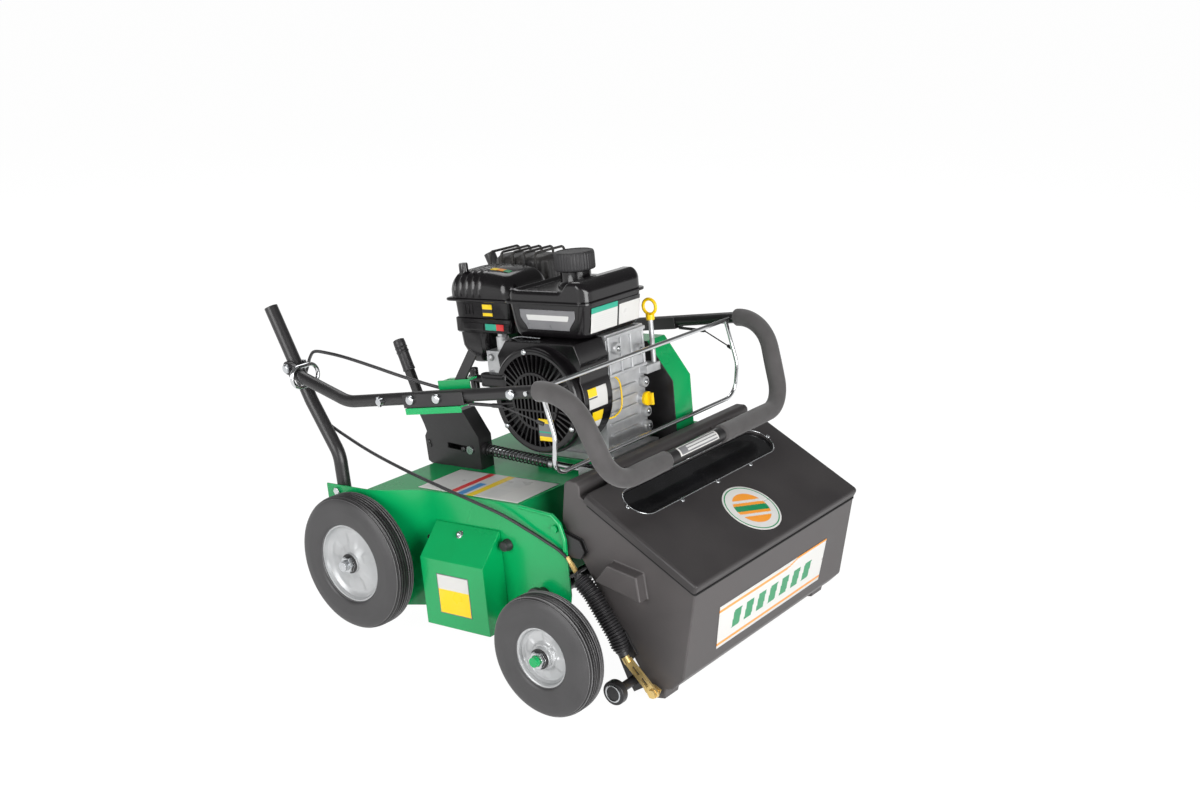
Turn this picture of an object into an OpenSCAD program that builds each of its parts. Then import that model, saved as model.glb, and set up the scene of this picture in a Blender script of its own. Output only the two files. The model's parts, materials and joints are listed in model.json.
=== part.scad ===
// Walk-behind overseeder with a folding handle and a seed hopper.
// Millimetres, +X forward, +Y left, +Z up; the origin lies on the ground under the middle.

/* [Stance] */
// Nose-up angle of the body while the front wheels are let down
tilt = 6.5; // [5:0.5:8]
// Distance along the deck from the rear axle to the front hubs
hub_x = 475; // [465:1:485]

/* [Wheels] */
// Outer diameter of the rear tyres
rear_tyre_d = 254; // [240:2:260]
// Width of the rear tyres
rear_tyre_w = 54; // [48:1:60]
// Outer diameter of the front tyres
front_tyre_d = 210; // [196:2:220]
// Width of the front tyres
front_tyre_w = 48; // [42:1:54]
// Diameter of the axles
axle_d = 19; // [16:0.5:20]

/* [Deck] */
// Width over the deck side plates
deck_w = 560; // [552:2:568]
// Thickness of the deck sheet
sheet_t = 3; // [2:0.5:3.5]

/* [Reel] */
// Tip diameter of the slicing blades
blade_d = 170; // [150:2:176]
// Thickness of a slicing blade
blade_t = 3; // [2:0.5:4]
// Distance from blade to blade
blade_pitch = 40; // [34:2:48]
// Diameter of the reel shaft
reel_shaft_d = 25; // [20:1:28]

/* [Belt drive] */
// Diameter of the engine pulley
crank_pulley_d = 76; // [70:1:82]
// Diameter of the reel pulley
reel_pulley_d = 120; // [110:1:126]
// Width of the drive belt
belt_w = 13; // [10:0.5:14]

/* [Handle] */
// Diameter of the lower handle tubes
lower_tube_d = 25.4; // [24:0.2:27]
// Diameter of the folding upper handle tube
upper_tube_d = 22.2; // [20:0.2:23]
// Wall of both tubes
tube_wall = 1.8; // [1.2:0.2:2.4]
// Diameter of the foam grips
grip_d = 34; // [30:1:38]
// Wire of the sliding lock rings
lock_wire_d = 8; // [6:0.5:8.5]
// Wire of the clutch bail
bail_wire_d = 8; // [6:0.5:9]

/* [Depth setting] */
// Wire of the depth spring
spring_wire_d = 3; // [2.4:0.1:3.4]
// Outer diameter of the depth spring
spring_d = 22; // [20:0.5:24]
// Number of curls in the depth spring
spring_coils = 18; // [12:1:20]

/* [Hopper] */
// Width of the seed hopper
hopper_w = 528; // [516:2:534]
// Wall of the hopper
hopper_wall = 5; // [4:0.5:6]
// Depth of the lid from its hinge to its front lip
lid_len = 246; // [240:1:252]
// Height of the lid rim
lid_t = 16; // [15:0.5:18]
// Overhang of the lid past each hopper side
lid_over = 4; // [2:0.5:6]

/* [Seed gate] */
// Thickness of the gate plate
gate_t = 3; // [2:0.5:3.5]
// Diameter of the feed roller
roller_d = 28; // [22:1:30]
// Outer diameter of the bellows
bellows_d = 24; // [20:1:24]
// Number of bellows ribs
bellows_ribs = 24; // [16:1:28]
// Diameter of the seed cable
cable_d = 6; // [5:0.5:6]

/* [Engine] */
// Diameter of the fuel cap
fuel_cap_d = 74; // [66:1:78]
// Diameter of the blower housing
blower_d = 200; // [190:2:202]

/* [Hidden] */
$fn = 48;
// Radial running clearance, and the gap between faces that only stand close
run = 0.05;
gap = 0.3;

// Colours
green = [0.03, 0.33, 0.14];
black = [0.05, 0.05, 0.055];
foam = [0.12, 0.12, 0.12];
zinc = [0.75, 0.76, 0.77];
yellow_zinc = [0.72, 0.62, 0.32];
alloy = [0.66, 0.67, 0.67];
rim_grey = [0.80, 0.81, 0.80];
yellow = [0.90, 0.74, 0.05];

// Heights and half widths that follow from the sizes above
rear_r = rear_tyre_d / 2;
front_r = front_tyre_d / 2;
axle_r = axle_d / 2;
hub_z = (front_r - rear_r - hub_x * sin(tilt)) / cos(tilt);
deck_top = 128;
deck_half = deck_w / 2;
ear_half = deck_half + 42;
cover_half = deck_half + 55;
rear_track = ear_half + 4 + rear_tyre_w / 2;
front_shoulder = deck_half + 65;
front_track = cover_half + 28 + front_tyre_w / 2;
front_hub_out = front_track + front_tyre_w / 2;
rear_rim_r = 73;
front_rim_r = 51;

// Deck outline
side_profile = [[-95, deck_top], [-95, 95], [-60, 80], [-32, 30], [-32, -30], [20, -60], [60, -95],
                [425, -95], [436, -60], [444, -20], [444, 80], [436, 108], [420, 122], [345, deck_top]];
flare_xs = [5, 20, 35, 50, 65, 80, 95, 110, 125, 140];
deck_rear = 12;
deck_front = 345;

// Reel and belt
reel_c = [221, -42];
crank_c = [298, 276];
reel_r = reel_shaft_d / 2;
belt_y = 111;
belt_t = 9;
belt_r1 = crank_pulley_d / 2 - 7.5;
belt_r2 = reel_pulley_d / 2 - 7.5;
idler_r = 22;
guard_profile = [[196, deck_top + gap], [400, deck_top + gap], [420, 150], [420, 262], [368, 335],
                 [240, 335], [196, 285]];

// Handle points on the right side
low_r = lower_tube_d / 2;
up_r = upper_tube_d / 2;
low_y = ear_half - sheet_t - gap - low_r;
up_y = low_y + low_r + 1.2 + up_r;
tongue_in = low_y + low_r + 0.6;
tongue_out = tongue_in + 8;
low_top = [-203, -low_y, 456];
low_b1 = [-124, -low_y, 282];
low_b2 = [-66, -low_y, 182];
low_end = [-64, -low_y, 100];
pivot = low_top + (low_b1 - low_top) * 0.632;
up_start = [pivot.x, -up_y, pivot.z];
up_h1 = [8, -up_y, 296];
up_h2 = [497, -(up_y - 34), 347];
up_h3 = [545, -(up_y - 66), 183];
up_dir = unit(up_h1 - up_start);
bail_z = up_h1.z + (422 - up_h1.x) / (up_h2.x - up_h1.x) * (up_h2.z - up_h1.z);
bail_pin = [422, 0, bail_z];
bail_half = up_y - 53;
sleeve_y0 = -115;
sleeve_y1 = 50;
ring_r = 15 + lock_wire_d / 2;
ring_pos = up_start + up_dir * 37 - [0, 0, ring_r - (lock_wire_d / 2 + up_r + gap) / up_dir.x];

// Depth setting
rod_y = -128;
rod_rear = [117, rod_y, 165];
rod_slope = 3.6;
rod_len = 296;
rod_front = rod_rear + rod_len * [cos(rod_slope), 0, -sin(rod_slope)];
axle_pivot = [384, 0, -29];
lever_pivot = [9, 164];
lever_lean = 19.5;
spring_from = 28.8;
spring_to = 181.7;
box_profile = [[9, 128.2], [139, 128.2], [139, 190], [105, 240], [0, 240], [-8, 222], [6, 192], [-1, 181],
               [1, 133]];

// Hopper
hop_half = hopper_w / 2;
lid_half = hop_half + lid_over;
lid_rear = [488, 161];
lid_slope = 31.4;
hinge_s = -6;
hinge_n = -8;
wall_foot = [585, -172];
wall_top = [426, 105];
rim_n = -lid_t - 0.4;
hopper_profile = [[438, 172], wall_top, wall_foot, [628, -160], [652, -138], on_lid_xz(lid_len, rim_n),
                  on_lid_xz((469.5 - lid_rear.x - rim_n * sin(lid_slope)) / cos(lid_slope), rim_n),
                  [469.5, 172], [464, 178], [444, 178]];
roller_a = 29.8;
roller_b = 19.8;
bellows_y = -hop_half - 17;
bellows_top = [466, bellows_y, 18];
bellows_foot = [549, bellows_y, -109];

// Route of the seed cable, from the lever bracket to the ferrule at the hopper
cable_route = [[226, -286, 322], [187, -298, 332], [128, -310, 347], [70, -320, 363], [12, -328, 377],
               [-40, -326, 382], [-90, -310, 378], [-128, -290, 363], [-156, -278, 338], [-172, -278, 305],
               [-160, -281, 274], [-118, -284, 236], [-50, -288, 208], [20, -294, 187], [100, -297, 166],
               [180, -298, 147], [255, -297, 129], [318, -293, 111], [372, -288, 88], [410, -287, 72],
               [432, -284, 60], [449.6, -281, 43]];

// The body is tilted about the rear axle; the middle of its length gives the origin
low_dir = unit([low_top.x - low_b1.x, low_top.z - low_b1.z]);
x_rear = world_x([low_top.x, low_top.z]) - low_r * (low_dir.x * sin(tilt) + low_dir.y * cos(tilt));
x_front = world_x(on_lid_xz(lid_len, 0));
x_mid = (x_rear + x_front) / 2;

function unit(v) = v / norm(v);
function world_x(p) = p.x * cos(tilt) - p.y * sin(tilt);
function cross2(a, b) = a.x * b.y - a.y * b.x;
function meet(p, u, q, v) = p + u * cross2(q - p, v) / cross2(u, v);
function on_lid_xz(s, n) = lid_rear + s * [cos(lid_slope), -sin(lid_slope)]
    + n * [sin(lid_slope), cos(lid_slope)];
function on_upper_pt(x, y, z) = let (u = unit(up_h2 - up_h1), b = acos(u.z), g = atan2(u.y, u.x))
    up_h1 + x * [cos(b) * cos(g), cos(b) * sin(g), -sin(b)] + y * [-sin(g), cos(g), 0] + z * u;
function clamp01(t) = min(1, max(0, t));
function side_y(x) = deck_half + 21 * (1 + cos(180 * clamp01((x - 5) / 135)));

// Polygon moved inward by d; points run counter-clockwise
function inset(pts, d) = let (n = len(pts)) [
    for (i = [0 : n - 1])
        let (a = pts[(i + n - 1) % n], b = pts[i], c = pts[(i + 1) % n], u = unit(b - a), v = unit(c - b))
            meet(b + d * [-u.y, u.x], u, b + d * [-v.y, v.x], v)];

// Closed loop round two circles, for the belt
function loop_angle(r1, r2) = acos((r1 - r2) / norm(reel_c - crank_c));
function loop_phi() = atan2(reel_c.y - crank_c.y, reel_c.x - crank_c.x);
function belt_loop(r1, r2) = let (p = loop_phi(), a = loop_angle(r1, r2)) concat(
    [for (i = [0 : 16]) let (t = p + a + i * (360 - 2 * a) / 16) crank_c + r1 * [cos(t), sin(t)]],
    [for (i = [0 : 16]) let (t = p - a + i * 2 * a / 16) reel_c + r2 * [cos(t), sin(t)]]);
run_angle = loop_phi() + loop_angle(belt_r1 + belt_t, belt_r2 + belt_t);
run_normal = [cos(run_angle), sin(run_angle)];
run_start = crank_c + (belt_r1 + belt_t) * run_normal;
run_end = reel_c + (belt_r2 + belt_t) * run_normal;
idler_c = run_start + 0.2 * (run_end - run_start) + (idler_r + 4.4) * run_normal;
idler_pivot = idler_c + [4, -52];

// Star outline of a slicing blade
function star(n, ro, ri) = [for (i = [0 : n - 1]) for (k = [0 : 2])
    let (t = (i + [0.0, 0.30, 0.65][k]) * 360 / n, r = [ro, ro, ri][k]) r * [cos(t), sin(t)]];

// Smooth curve through the route points
function smooth(p, i, t) = let (a = p[max(0, i - 1)], b = p[i], c = p[i + 1], d = p[min(len(p) - 1, i + 2)])
    0.5 * (2 * b + (c - a) * t + (2 * a - 5 * b + 4 * c - d) * t * t + (3 * b - a - 3 * c + d) * t * t * t);
function curve(p, k) = concat([for (i = [0 : len(p) - 2]) for (j = [0 : k - 1]) smooth(p, i, j / k)],
                              [p[len(p) - 1]]);
function tangent(p, i) = unit(p[min(len(p) - 1, i + 1)] - p[max(0, i - 1)]);
function ring(c, t, ref, r, m) = let (a = unit(ref - t * (ref * t)), b = cross(t, a))
    [for (k = [0 : m - 1]) c + r * (cos(360 * k / m) * a + sin(360 * k / m) * b)];
function skin(n, m) = concat(
    [for (i = [0 : n - 2]) for (k = [0 : m - 1]) [i * m + k, (i + 1) * m + k, (i + 1) * m + (k + 1) % m]],
    [for (i = [0 : n - 2]) for (k = [0 : m - 1]) [i * m + k, (i + 1) * m + (k + 1) % m, i * m + (k + 1) % m]]);
function caps(n, m) = concat([for (k = [1 : m - 2]) [0, k, k + 1]],
                             [for (k = [1 : m - 2]) [(n - 1) * m, (n - 1) * m + k + 1, (n - 1) * m + k]]);

// Centre line of the depth spring along +Z, with straight ends
spring_r = (spring_d - spring_wire_d) / 2;
spring_l = spring_to - spring_from;
ease = [0, 0.25, 0.5, 0.75];
spring_head = concat([[spring_r, 0, 0]],
    [for (t = ease) [spring_r * cos(45 * t * t), spring_r * sin(45 * t * t),
                     spring_wire_d + 3 * (t - t * t / 2)]]);
spring_h0 = spring_wire_d + 1.5;
spring_turn = spring_coils * 8;
spring_mid = [for (i = [0 : spring_turn]) let (t = 45 + i * 45)
    [spring_r * cos(t), spring_r * sin(t), spring_h0 + i * (spring_l - 2 * spring_h0) / spring_turn]];
spring_last = 90 + spring_turn * 45;
spring_tail = [for (i = [len(spring_head) - 1 : -1 : 0]) let (q = spring_head[i], t = atan2(q.y, q.x))
    [spring_r * cos(spring_last - t), spring_r * sin(spring_last - t), spring_l - q.z]];
spring_path = concat(spring_head, spring_mid, spring_tail);
spring_gap = min([for (i = [0 : len(spring_path) - 1]) for (j = [i + 6 : 1 : len(spring_path) - 1])
    norm(spring_path[i] - spring_path[j])]) - spring_wire_d;
echo(spring_gap = spring_gap);

// Frames and shared shapes
module in_body() translate([-x_mid, 0, rear_r]) rotate([0, -tilt, 0]) children();
module on_lid() translate([lid_rear.x, 0, lid_rear.y]) rotate([0, lid_slope, 0]) children();
module on_rod() translate(rod_rear) rotate([0, 90 + rod_slope, 0]) children();
module on_upper() along(up_h1, up_h2) children();
module on_wall() {
    w = unit(wall_top - wall_foot);
    multmatrix([[w.x, -w.y, 0, wall_foot.x], [0, 0, -1, 0], [w.y, w.x, 0, wall_foot.y], [0, 0, 0, 1]])
        children();
}
module both_sides() {
    children();
    mirror([0, 1, 0]) children();
}
module along(a, b) {
    v = b - a;
    translate(a) rotate([0, acos(v.z / norm(v)), atan2(v.y, v.x)]) children();
}
module rod(a, b, r) along(a, b) cylinder(h = norm(b - a), r = r);
module cyl_y(x, z, y0, y1, r) translate([x, y1, z]) rotate([90, 0, 0]) cylinder(h = y1 - y0, r = r);
module hex_y(x, z, y0, y1, r) translate([x, y1, z]) rotate([90, 0, 0]) cylinder(h = y1 - y0, r = r, $fn = 6);
module plate_y(pts, y0, y1) translate([0, y1, 0]) rotate([90, 0, 0]) linear_extrude(y1 - y0) polygon(pts);
module block(a, b) translate(a) cube(b - a);
module at_wheel(x, y, z) translate([x, y, z]) rotate([90, 0, 0]) children();

// One bend of a tube from direction u to direction w round corner p; thin sleeves cover the seams
module bend(p, u, w, r_bend, r) {
    n = unit(w - u * (u * w));
    turn = acos(u * w);
    c = p - u * r_bend * tan(turn / 2) + n * r_bend;
    k = cross(-n, u);
    multmatrix([[-n.x, u.x, k.x, c.x], [-n.y, u.y, k.y, c.y], [-n.z, u.z, k.z, c.z], [0, 0, 0, 1]])
        rotate_extrude(angle = turn) translate([r_bend, 0]) circle(r);
}
function cut_back(p, i, bends) = i == 0 || i == len(p) - 1 ? 0 :
    bends[i] * tan(acos(unit(p[i] - p[i - 1]) * unit(p[i + 1] - p[i])) / 2);
module tube_run(p, bends, r) {
    for (i = [0 : len(p) - 2]) {
        u = unit(p[i + 1] - p[i]);
        rod(p[i] + u * cut_back(p, i, bends), p[i + 1] - u * cut_back(p, i + 1, bends), r);
    }
    for (i = [1 : 1 : len(p) - 2]) {
        u = unit(p[i] - p[i - 1]);
        w = unit(p[i + 1] - p[i]);
        back = cut_back(p, i, bends);
        bend(p[i], u, w, bends[i], r);
        rod(p[i] - u * (back + 1.5), p[i] - u * (back - 1.5), r + 0.1);
        rod(p[i] + w * (back - 1.5), p[i] + w * (back + 1.5), r + 0.1);
    }
}
function flip_y(p) = [p.x, -p.y, p.z];

// Wheels
module tyre(r, w, rim_r) color(black) rotate_extrude($fn = 96) difference() {
    polygon([[rim_r, -0.36 * w], [rim_r + 7, -0.5 * w], [r - 16, -0.5 * w], [r - 6, -0.44 * w],
             [r, -0.32 * w], [r, 0.32 * w], [r - 6, 0.44 * w], [r - 16, 0.5 * w], [rim_r + 7, 0.5 * w],
             [rim_r, 0.36 * w]]);
    for (i = [-1.5 : 1 : 1.5])
        translate([r - 3, i * 0.16 * w - 1.2]) square([4, 2.4]);
}
module rim(w, rim_r, bore_r, hub_in, hub_out) color(rim_grey) rotate_extrude($fn = 96) {
    translate([rim_r - 4, -0.36 * w]) square([3.9, 0.72 * w]);
    translate([bore_r, -hub_in]) square([9, hub_in + hub_out]);
    polygon([[bore_r + 6, 0.2 * w], [0.5 * rim_r, 0.06 * w], [0.78 * rim_r, 0.06 * w], [rim_r - 2, 0.26 * w],
             [rim_r - 2, 0.26 * w + 3], [0.78 * rim_r, 0.06 * w + 3], [0.5 * rim_r, 0.06 * w + 3],
             [bore_r + 6, 0.2 * w + 3]]);
}
module rear_tyre_right() in_body() at_wheel(0, -rear_track, 0) tyre(rear_r, rear_tyre_w, rear_rim_r);
module rear_tyre_left() mirror([0, 1, 0]) rear_tyre_right();
module rear_rim_right() in_body() at_wheel(0, -rear_track, 0)
    rim(rear_tyre_w, rear_rim_r, axle_r + run, rear_tyre_w / 2 + 2, rear_tyre_w / 2 - 8);
module rear_rim_left() mirror([0, 1, 0]) rear_rim_right();
module front_tyre_right() in_body() at_wheel(hub_x, -front_track, hub_z)
    tyre(front_r, front_tyre_w, front_rim_r);
module front_tyre_left() mirror([0, 1, 0]) front_tyre_right();
module front_rim_right() in_body() at_wheel(hub_x, -front_track, hub_z)
    rim(front_tyre_w, front_rim_r, axle_r + run, front_track - front_shoulder - 0.5, front_tyre_w / 2 - 3);
module front_rim_left() mirror([0, 1, 0]) front_rim_right();
module rear_axle() color(zinc) in_body()
    cyl_y(0, 0, -(rear_track + rear_tyre_w / 2 + 12), rear_track + rear_tyre_w / 2 + 12, axle_r);

// Deck and covers
module deck_strip() linear_extrude(300, center = true) polygon(concat(
    [[-95, -side_y(-95)]], [for (x = flare_xs) [x, -side_y(x)]], [[446, -side_y(446)]],
    [[446, sheet_t - side_y(446)]],
    [for (i = [len(flare_xs) - 1 : -1 : 0]) [flare_xs[i], sheet_t - side_y(flare_xs[i])]],
    [[-95, sheet_t - side_y(-95)]]));
deck_xs = concat([deck_rear], [for (i = [1 : len(flare_xs) - 1]) flare_xs[i]], [deck_front]);
module deck() color(green) in_body() difference() {
    union() {
        both_sides() intersection() {
            deck_strip();
            plate_y(side_profile, -400, -200);
        }
        translate([0, 0, deck_top - sheet_t]) linear_extrude(sheet_t) polygon(concat(
            [for (x = deck_xs) [x, 1 - side_y(x)]],
            [for (i = [len(deck_xs) - 1 : -1 : 0]) [deck_xs[i], side_y(deck_xs[i]) - 1]]));
        block([deck_rear, 1.5 - ear_half, -30], [deck_rear + sheet_t, ear_half - 1.5, deck_top - 1]);
        block([deck_front - sheet_t, 1.5 - deck_half, -60], [deck_front, deck_half - 1.5, deck_top - 1]);
        difference() {
            block([215, -75, deck_top - 1], [395, 72, deck_top + 18]);
            block([219, -71, deck_top - 2], [391, 68, deck_top + 14]);
        }
    }
    block([206, belt_y - 14, deck_top - 10], [332, belt_y + 14, deck_top + 10]);
    cyl_y(0, 0, -400, 400, axle_r + run);
    cyl_y(reel_c.x, reel_c.y, -400, 400, reel_r + 5);
    cyl_y(axle_pivot.x, axle_pivot.z, -400, 400, 14 + run);
}
module cover_section(d) polygon([[deck_half + gap - d, 75 - d], [deck_half + 4, 75 - d],
    [cover_half - d, 23 - d / 2], [cover_half - d, -103 - d], [deck_half + gap - d, -103 - d]]);
module reel_covers() color(green) in_body() both_sides() mirror([0, 1, 0]) difference() {
    translate([146, 0, 0]) rotate([90, 0, 90]) linear_extrude(151) cover_section(0);
    translate([148.5, 0, 0]) rotate([90, 0, 90]) linear_extrude(146) cover_section(2.5);
}
module fasteners() color(zinc) in_body() both_sides() {
    difference() {
        union() {
            hex_y(0, 0, -(rear_track + rear_tyre_w / 2 + 3), -(rear_track + rear_tyre_w / 2 - 5), axle_r + 6);
            cyl_y(0, 0, -(rear_track + rear_tyre_w / 2 - 5), -(rear_track + rear_tyre_w / 2 - 7.5), axle_r + 9);
        }
        cyl_y(0, 0, -500, 0, axle_r + run);
    }
    difference() {
        cyl_y(reel_c.x, reel_c.y, -(deck_half + 16), -(deck_half + gap), reel_r + 14);
        cyl_y(reel_c.x, reel_c.y, -400, 0, reel_r + run);
    }
    hex_y(-66, 116, -(ear_half + 5), -(ear_half + 0.2), 8);
    hex_y(128, 40, -(side_y(128) + 8), -(side_y(128) + 2), 7);
    hex_y(312, 52, -(deck_half + 5), -(deck_half + 0.2), 7);
    hex_y(424, 97, -(deck_half + 5), -(deck_half + 0.2), 7);
}

// Reel
module reel_shaft() color(zinc) in_body() difference() {
    union() {
        cyl_y(reel_c.x, reel_c.y, -(deck_half + 22), deck_half + 22, reel_r);
        cyl_y(reel_c.x, reel_c.y, belt_y - belt_w / 2 - 4, belt_y + belt_w / 2 + 4, reel_pulley_d / 2);
    }
    pulley_groove(reel_c, reel_pulley_d / 2, belt_r2 - 0.4);
}
module pulley_groove(c, ro, ri) difference() {
    cyl_y(c.x, c.y, belt_y - belt_w / 2 - 0.5, belt_y + belt_w / 2 + 0.5, ro + 2);
    cyl_y(c.x, c.y, belt_y - belt_w, belt_y + belt_w, ri);
}
blade_n = floor((deck_half - 30) / blade_pitch);
module reel_blades() color(alloy) in_body() for (i = [-blade_n : blade_n])
    if (abs(i * blade_pitch - belt_y) > 17)
        translate([reel_c.x, i * blade_pitch + blade_t / 2, reel_c.y]) rotate([90, i * 9, 0])
            linear_extrude(blade_t) difference() {
                polygon(star(10, blade_d / 2, blade_d / 2 - 22));
                circle(reel_r + run);
            }

// Belt drive
module drive_belt() color(black) in_body() difference() {
    plate_y(belt_loop(belt_r1 + belt_t, belt_r2 + belt_t), belt_y - belt_w / 2, belt_y + belt_w / 2);
    plate_y(belt_loop(belt_r1, belt_r2), belt_y - belt_w, belt_y + belt_w);
}
module crankshaft() color(zinc) in_body() difference() {
    union() {
        cyl_y(crank_c.x, crank_c.y, 24, 132, 12.5);
        cyl_y(crank_c.x, crank_c.y, belt_y - belt_w / 2 - 4, belt_y + belt_w / 2 + 4, crank_pulley_d / 2);
    }
    pulley_groove(crank_c, crank_pulley_d / 2, belt_r1 - 0.4);
}
module idler_arm() color(zinc) in_body() {
    cyl_y(idler_c.x, idler_c.y, belt_y - 8, belt_y + 8, idler_r);
    cyl_y(idler_c.x, idler_c.y, belt_y + 7, belt_y + 16, 6);
    cyl_y(idler_pivot.x, idler_pivot.y, 90, belt_y + 13, 5);
    cyl_y(idler_pivot.x, idler_pivot.y, 94.6, belt_y + 9, 9);
    plate_y([idler_pivot + [-9, -6], idler_pivot + [9, -6], idler_c + [8, 6], idler_c + [-8, 6]],
            belt_y + 8.5, belt_y + 12.5);
}
module belt_guard() color(green) in_body() difference() {
    plate_y(guard_profile, 94.3, 150);
    plate_y(inset(guard_profile, 2.5), 94, 147.5);
    block([198.5, 94, deck_top - 1], [399, 147.5, deck_top + 6]);
}
module guard_backplate() color(black) in_body() difference() {
    plate_y(guard_profile, 91.5, 94);
    cyl_y(crank_c.x, crank_c.y, 80, 100, 30);
    cyl_y(idler_pivot.x, idler_pivot.y, 80, 100, 5 + run);
}

// Lower handle
module lower_handle_right() color(black) in_body() difference() {
    tube_run([low_top, low_b1, low_b2, low_end], [0, 60, 60, 0], low_r);
    tube_run([low_top + unit(low_top - low_b1), low_b1, low_b2, low_end - [0, 0, 1]], [0, 60, 60, 0],
             low_r - tube_wall);
    cyl_y(pivot.x, pivot.z, -low_y - 50, -low_y + 50, 5 + run);
}
module lower_handle_left() mirror([0, 1, 0]) lower_handle_right();

// Upper handle
up_points = [up_start + up_dir * 20, up_h1, up_h2, up_h3, flip_y(up_h3), flip_y(up_h2), flip_y(up_h1),
             flip_y(up_start + up_dir * 20)];
up_bends = [0, 80, 75, 60, 60, 75, 80, 0];
module upper_handle() color(black) in_body() difference() {
    union() {
        tube_run(up_points, up_bends, up_r);
        both_sides() {
            cyl_y(pivot.x, pivot.z, -tongue_out, -tongue_in, 13);
            plate_y([for (q = [[0, -11], [34, -9], [34, 9], [0, 11]]) [pivot.x, pivot.z]
                + q.x * [up_dir.x, up_dir.z] + q.y * [-up_dir.z, up_dir.x]], -tongue_out, -tongue_in);
        }
    }
    tube_run(concat([up_points[0] + up_dir * 20], [for (i = [1 : 6]) up_points[i]],
                    [flip_y(up_points[0] + up_dir * 20)]), up_bends, up_r - tube_wall);
    cyl_y(pivot.x, pivot.z, -400, 400, 5 + run);
    cyl_y(bail_pin.x, bail_pin.z, -400, 400, bail_wire_d / 2 + run);
}
foam_start = up_h2 - unit(up_h2 - up_h1) * 66;
module foam_half(p, bends) difference() {
    tube_run(p, bends, grip_d / 2);
    tube_run(concat([p[0] + unit(p[0] - p[1])], [p[1], p[2]], [p[3] + unit(p[3] - p[2])]), bends, up_r + run);
}
module handle_grips() color(foam) in_body() {
    foam_half([foam_start, up_h2, up_h3, [up_h3.x, sleeve_y0 - gap, up_h3.z]], [0, 75, 60, 0]);
    mirror([0, 1, 0])
        foam_half([foam_start, up_h2, up_h3, [up_h3.x, -sleeve_y1 - gap, up_h3.z]], [0, 75, 60, 0]);
}
module bar_sleeve() color(black) in_body() difference() {
    cyl_y(up_h3.x, up_h3.z, sleeve_y0, sleeve_y1, up_r + 2.2);
    cyl_y(up_h3.x, up_h3.z, sleeve_y0 - 1, sleeve_y1 + 1, up_r + run);
}
module handle_bolts() color(zinc) in_body() both_sides() {
    cyl_y(pivot.x, pivot.z, -tongue_out - 5, -tongue_out - 0.1, 9);
    cyl_y(pivot.x, pivot.z, -tongue_out - 1, -(low_y - low_r - 9), 5);
    hex_y(pivot.x, pivot.z, -(low_y - low_r - 0.6), -(low_y - low_r - 7), 9);
    on_upper() {
        for (s = [165, 225])
            translate([0, -up_r - 3.4, s]) rotate([90, 0, 0]) cylinder(h = 4, r = 8);
        translate([0, -up_r - 0.2, 385]) rotate([90, 0, 0]) cylinder(h = 5, r = 7);
        translate([0, -up_r - 0.2, 92]) rotate([90, 0, 0]) cylinder(h = 9, r = 6);
        translate([-9, -up_r - 9, 89.5]) cube([18, 4, 5]);
    }
}
module splice_plates() color(black) in_body() both_sides() on_upper() difference() {
    translate([-9, -up_r - 3.2, 145]) cube([up_r + 12.2, 2 * up_r + 6.4, 136]);
    translate([-10, -up_r - 0.2, 144]) cube([up_r + 10.2, 2 * up_r + 0.4, 138]);
}
module lever_bracket() color(green) in_body() on_upper() difference() {
    union() {
        translate([up_r + 3.4, -up_r - 6.4, 150]) cube([3, 2 * up_r + 15.3, 125]);
        translate([up_r + 3.4, -up_r - 6.4, 150]) cube([11, 2.5, 125]);
        translate([-24, up_r + 5.9, 205]) cube([up_r + 30.4, 3, 70]);
        translate([-24, up_r + 5.9, 215]) cube([3, 22, 60]);
    }
    translate([-4, up_r + 3, 235]) rotate([-90, 0, 0]) cylinder(h = 10, r = 4 + run);
    translate([-26, up_r + 9.2, 220]) cube([6, 8, 50]);
}
module seed_lever() color(black) in_body() on_upper() translate([-4, up_r, 235]) {
    translate([0, 5, 0]) rotate([-90, 0, 0]) cylinder(h = 12, r = 4);
    translate([0, 9.9, 0]) rotate([0, -49, 0]) translate([-9, 0, -12]) cube([18, 5, 97]);
}

// Bail and its cables
bail_path = [[422, -bail_half, bail_z], [442, -bail_half, 255], [432, -bail_half, 190],
             [432, bail_half, 190], [442, bail_half, 255], [422, bail_half, bail_z]];
module bail() color(zinc) in_body() {
    cyl_y(bail_pin.x, bail_pin.z, -(up_y - 13), up_y - 13, bail_wire_d / 2);
    tube_run(bail_path, [0, 60, 30, 30, 60, 0], bail_wire_d / 2);
}
wire_end = [428, -(bail_half + 9), 281];
wire_mid = on_upper_pt(22, 3, 345);
wire_start = on_upper_pt(up_r + 3.5, 0, 281.4);
module clutch_cables() color(black) in_body() both_sides() {
    rod(wire_end, wire_end + 14 * unit(wire_mid - wire_end), 3.5);
    rod(wire_end + 13 * unit(wire_mid - wire_end), wire_mid, 1.2);
    rod(wire_mid - 2 * unit(wire_mid - wire_end), wire_mid + 14 * unit(wire_start - wire_mid), 4);
    rod(wire_mid + 13 * unit(wire_start - wire_mid), wire_start, 3);
}

// Lock rings
module lock_ring_right() color(zinc) in_body() translate([ring_pos.x, -(up_y - 13), ring_pos.z])
    rotate([90, 0, 90]) for (a = [0, 180]) rotate([0, 0, a]) {
        translate([12, 0, 0]) rotate([0, 0, -90]) rotate_extrude(angle = 180)
            translate([ring_r, 0]) circle(lock_wire_d / 2, $fn = 24);
        translate([-12, ring_r, 0]) rotate([0, 90, 0]) cylinder(h = 24, r = lock_wire_d / 2, $fn = 24);
    }
module lock_ring_left() mirror([0, 1, 0]) lock_ring_right();

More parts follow.
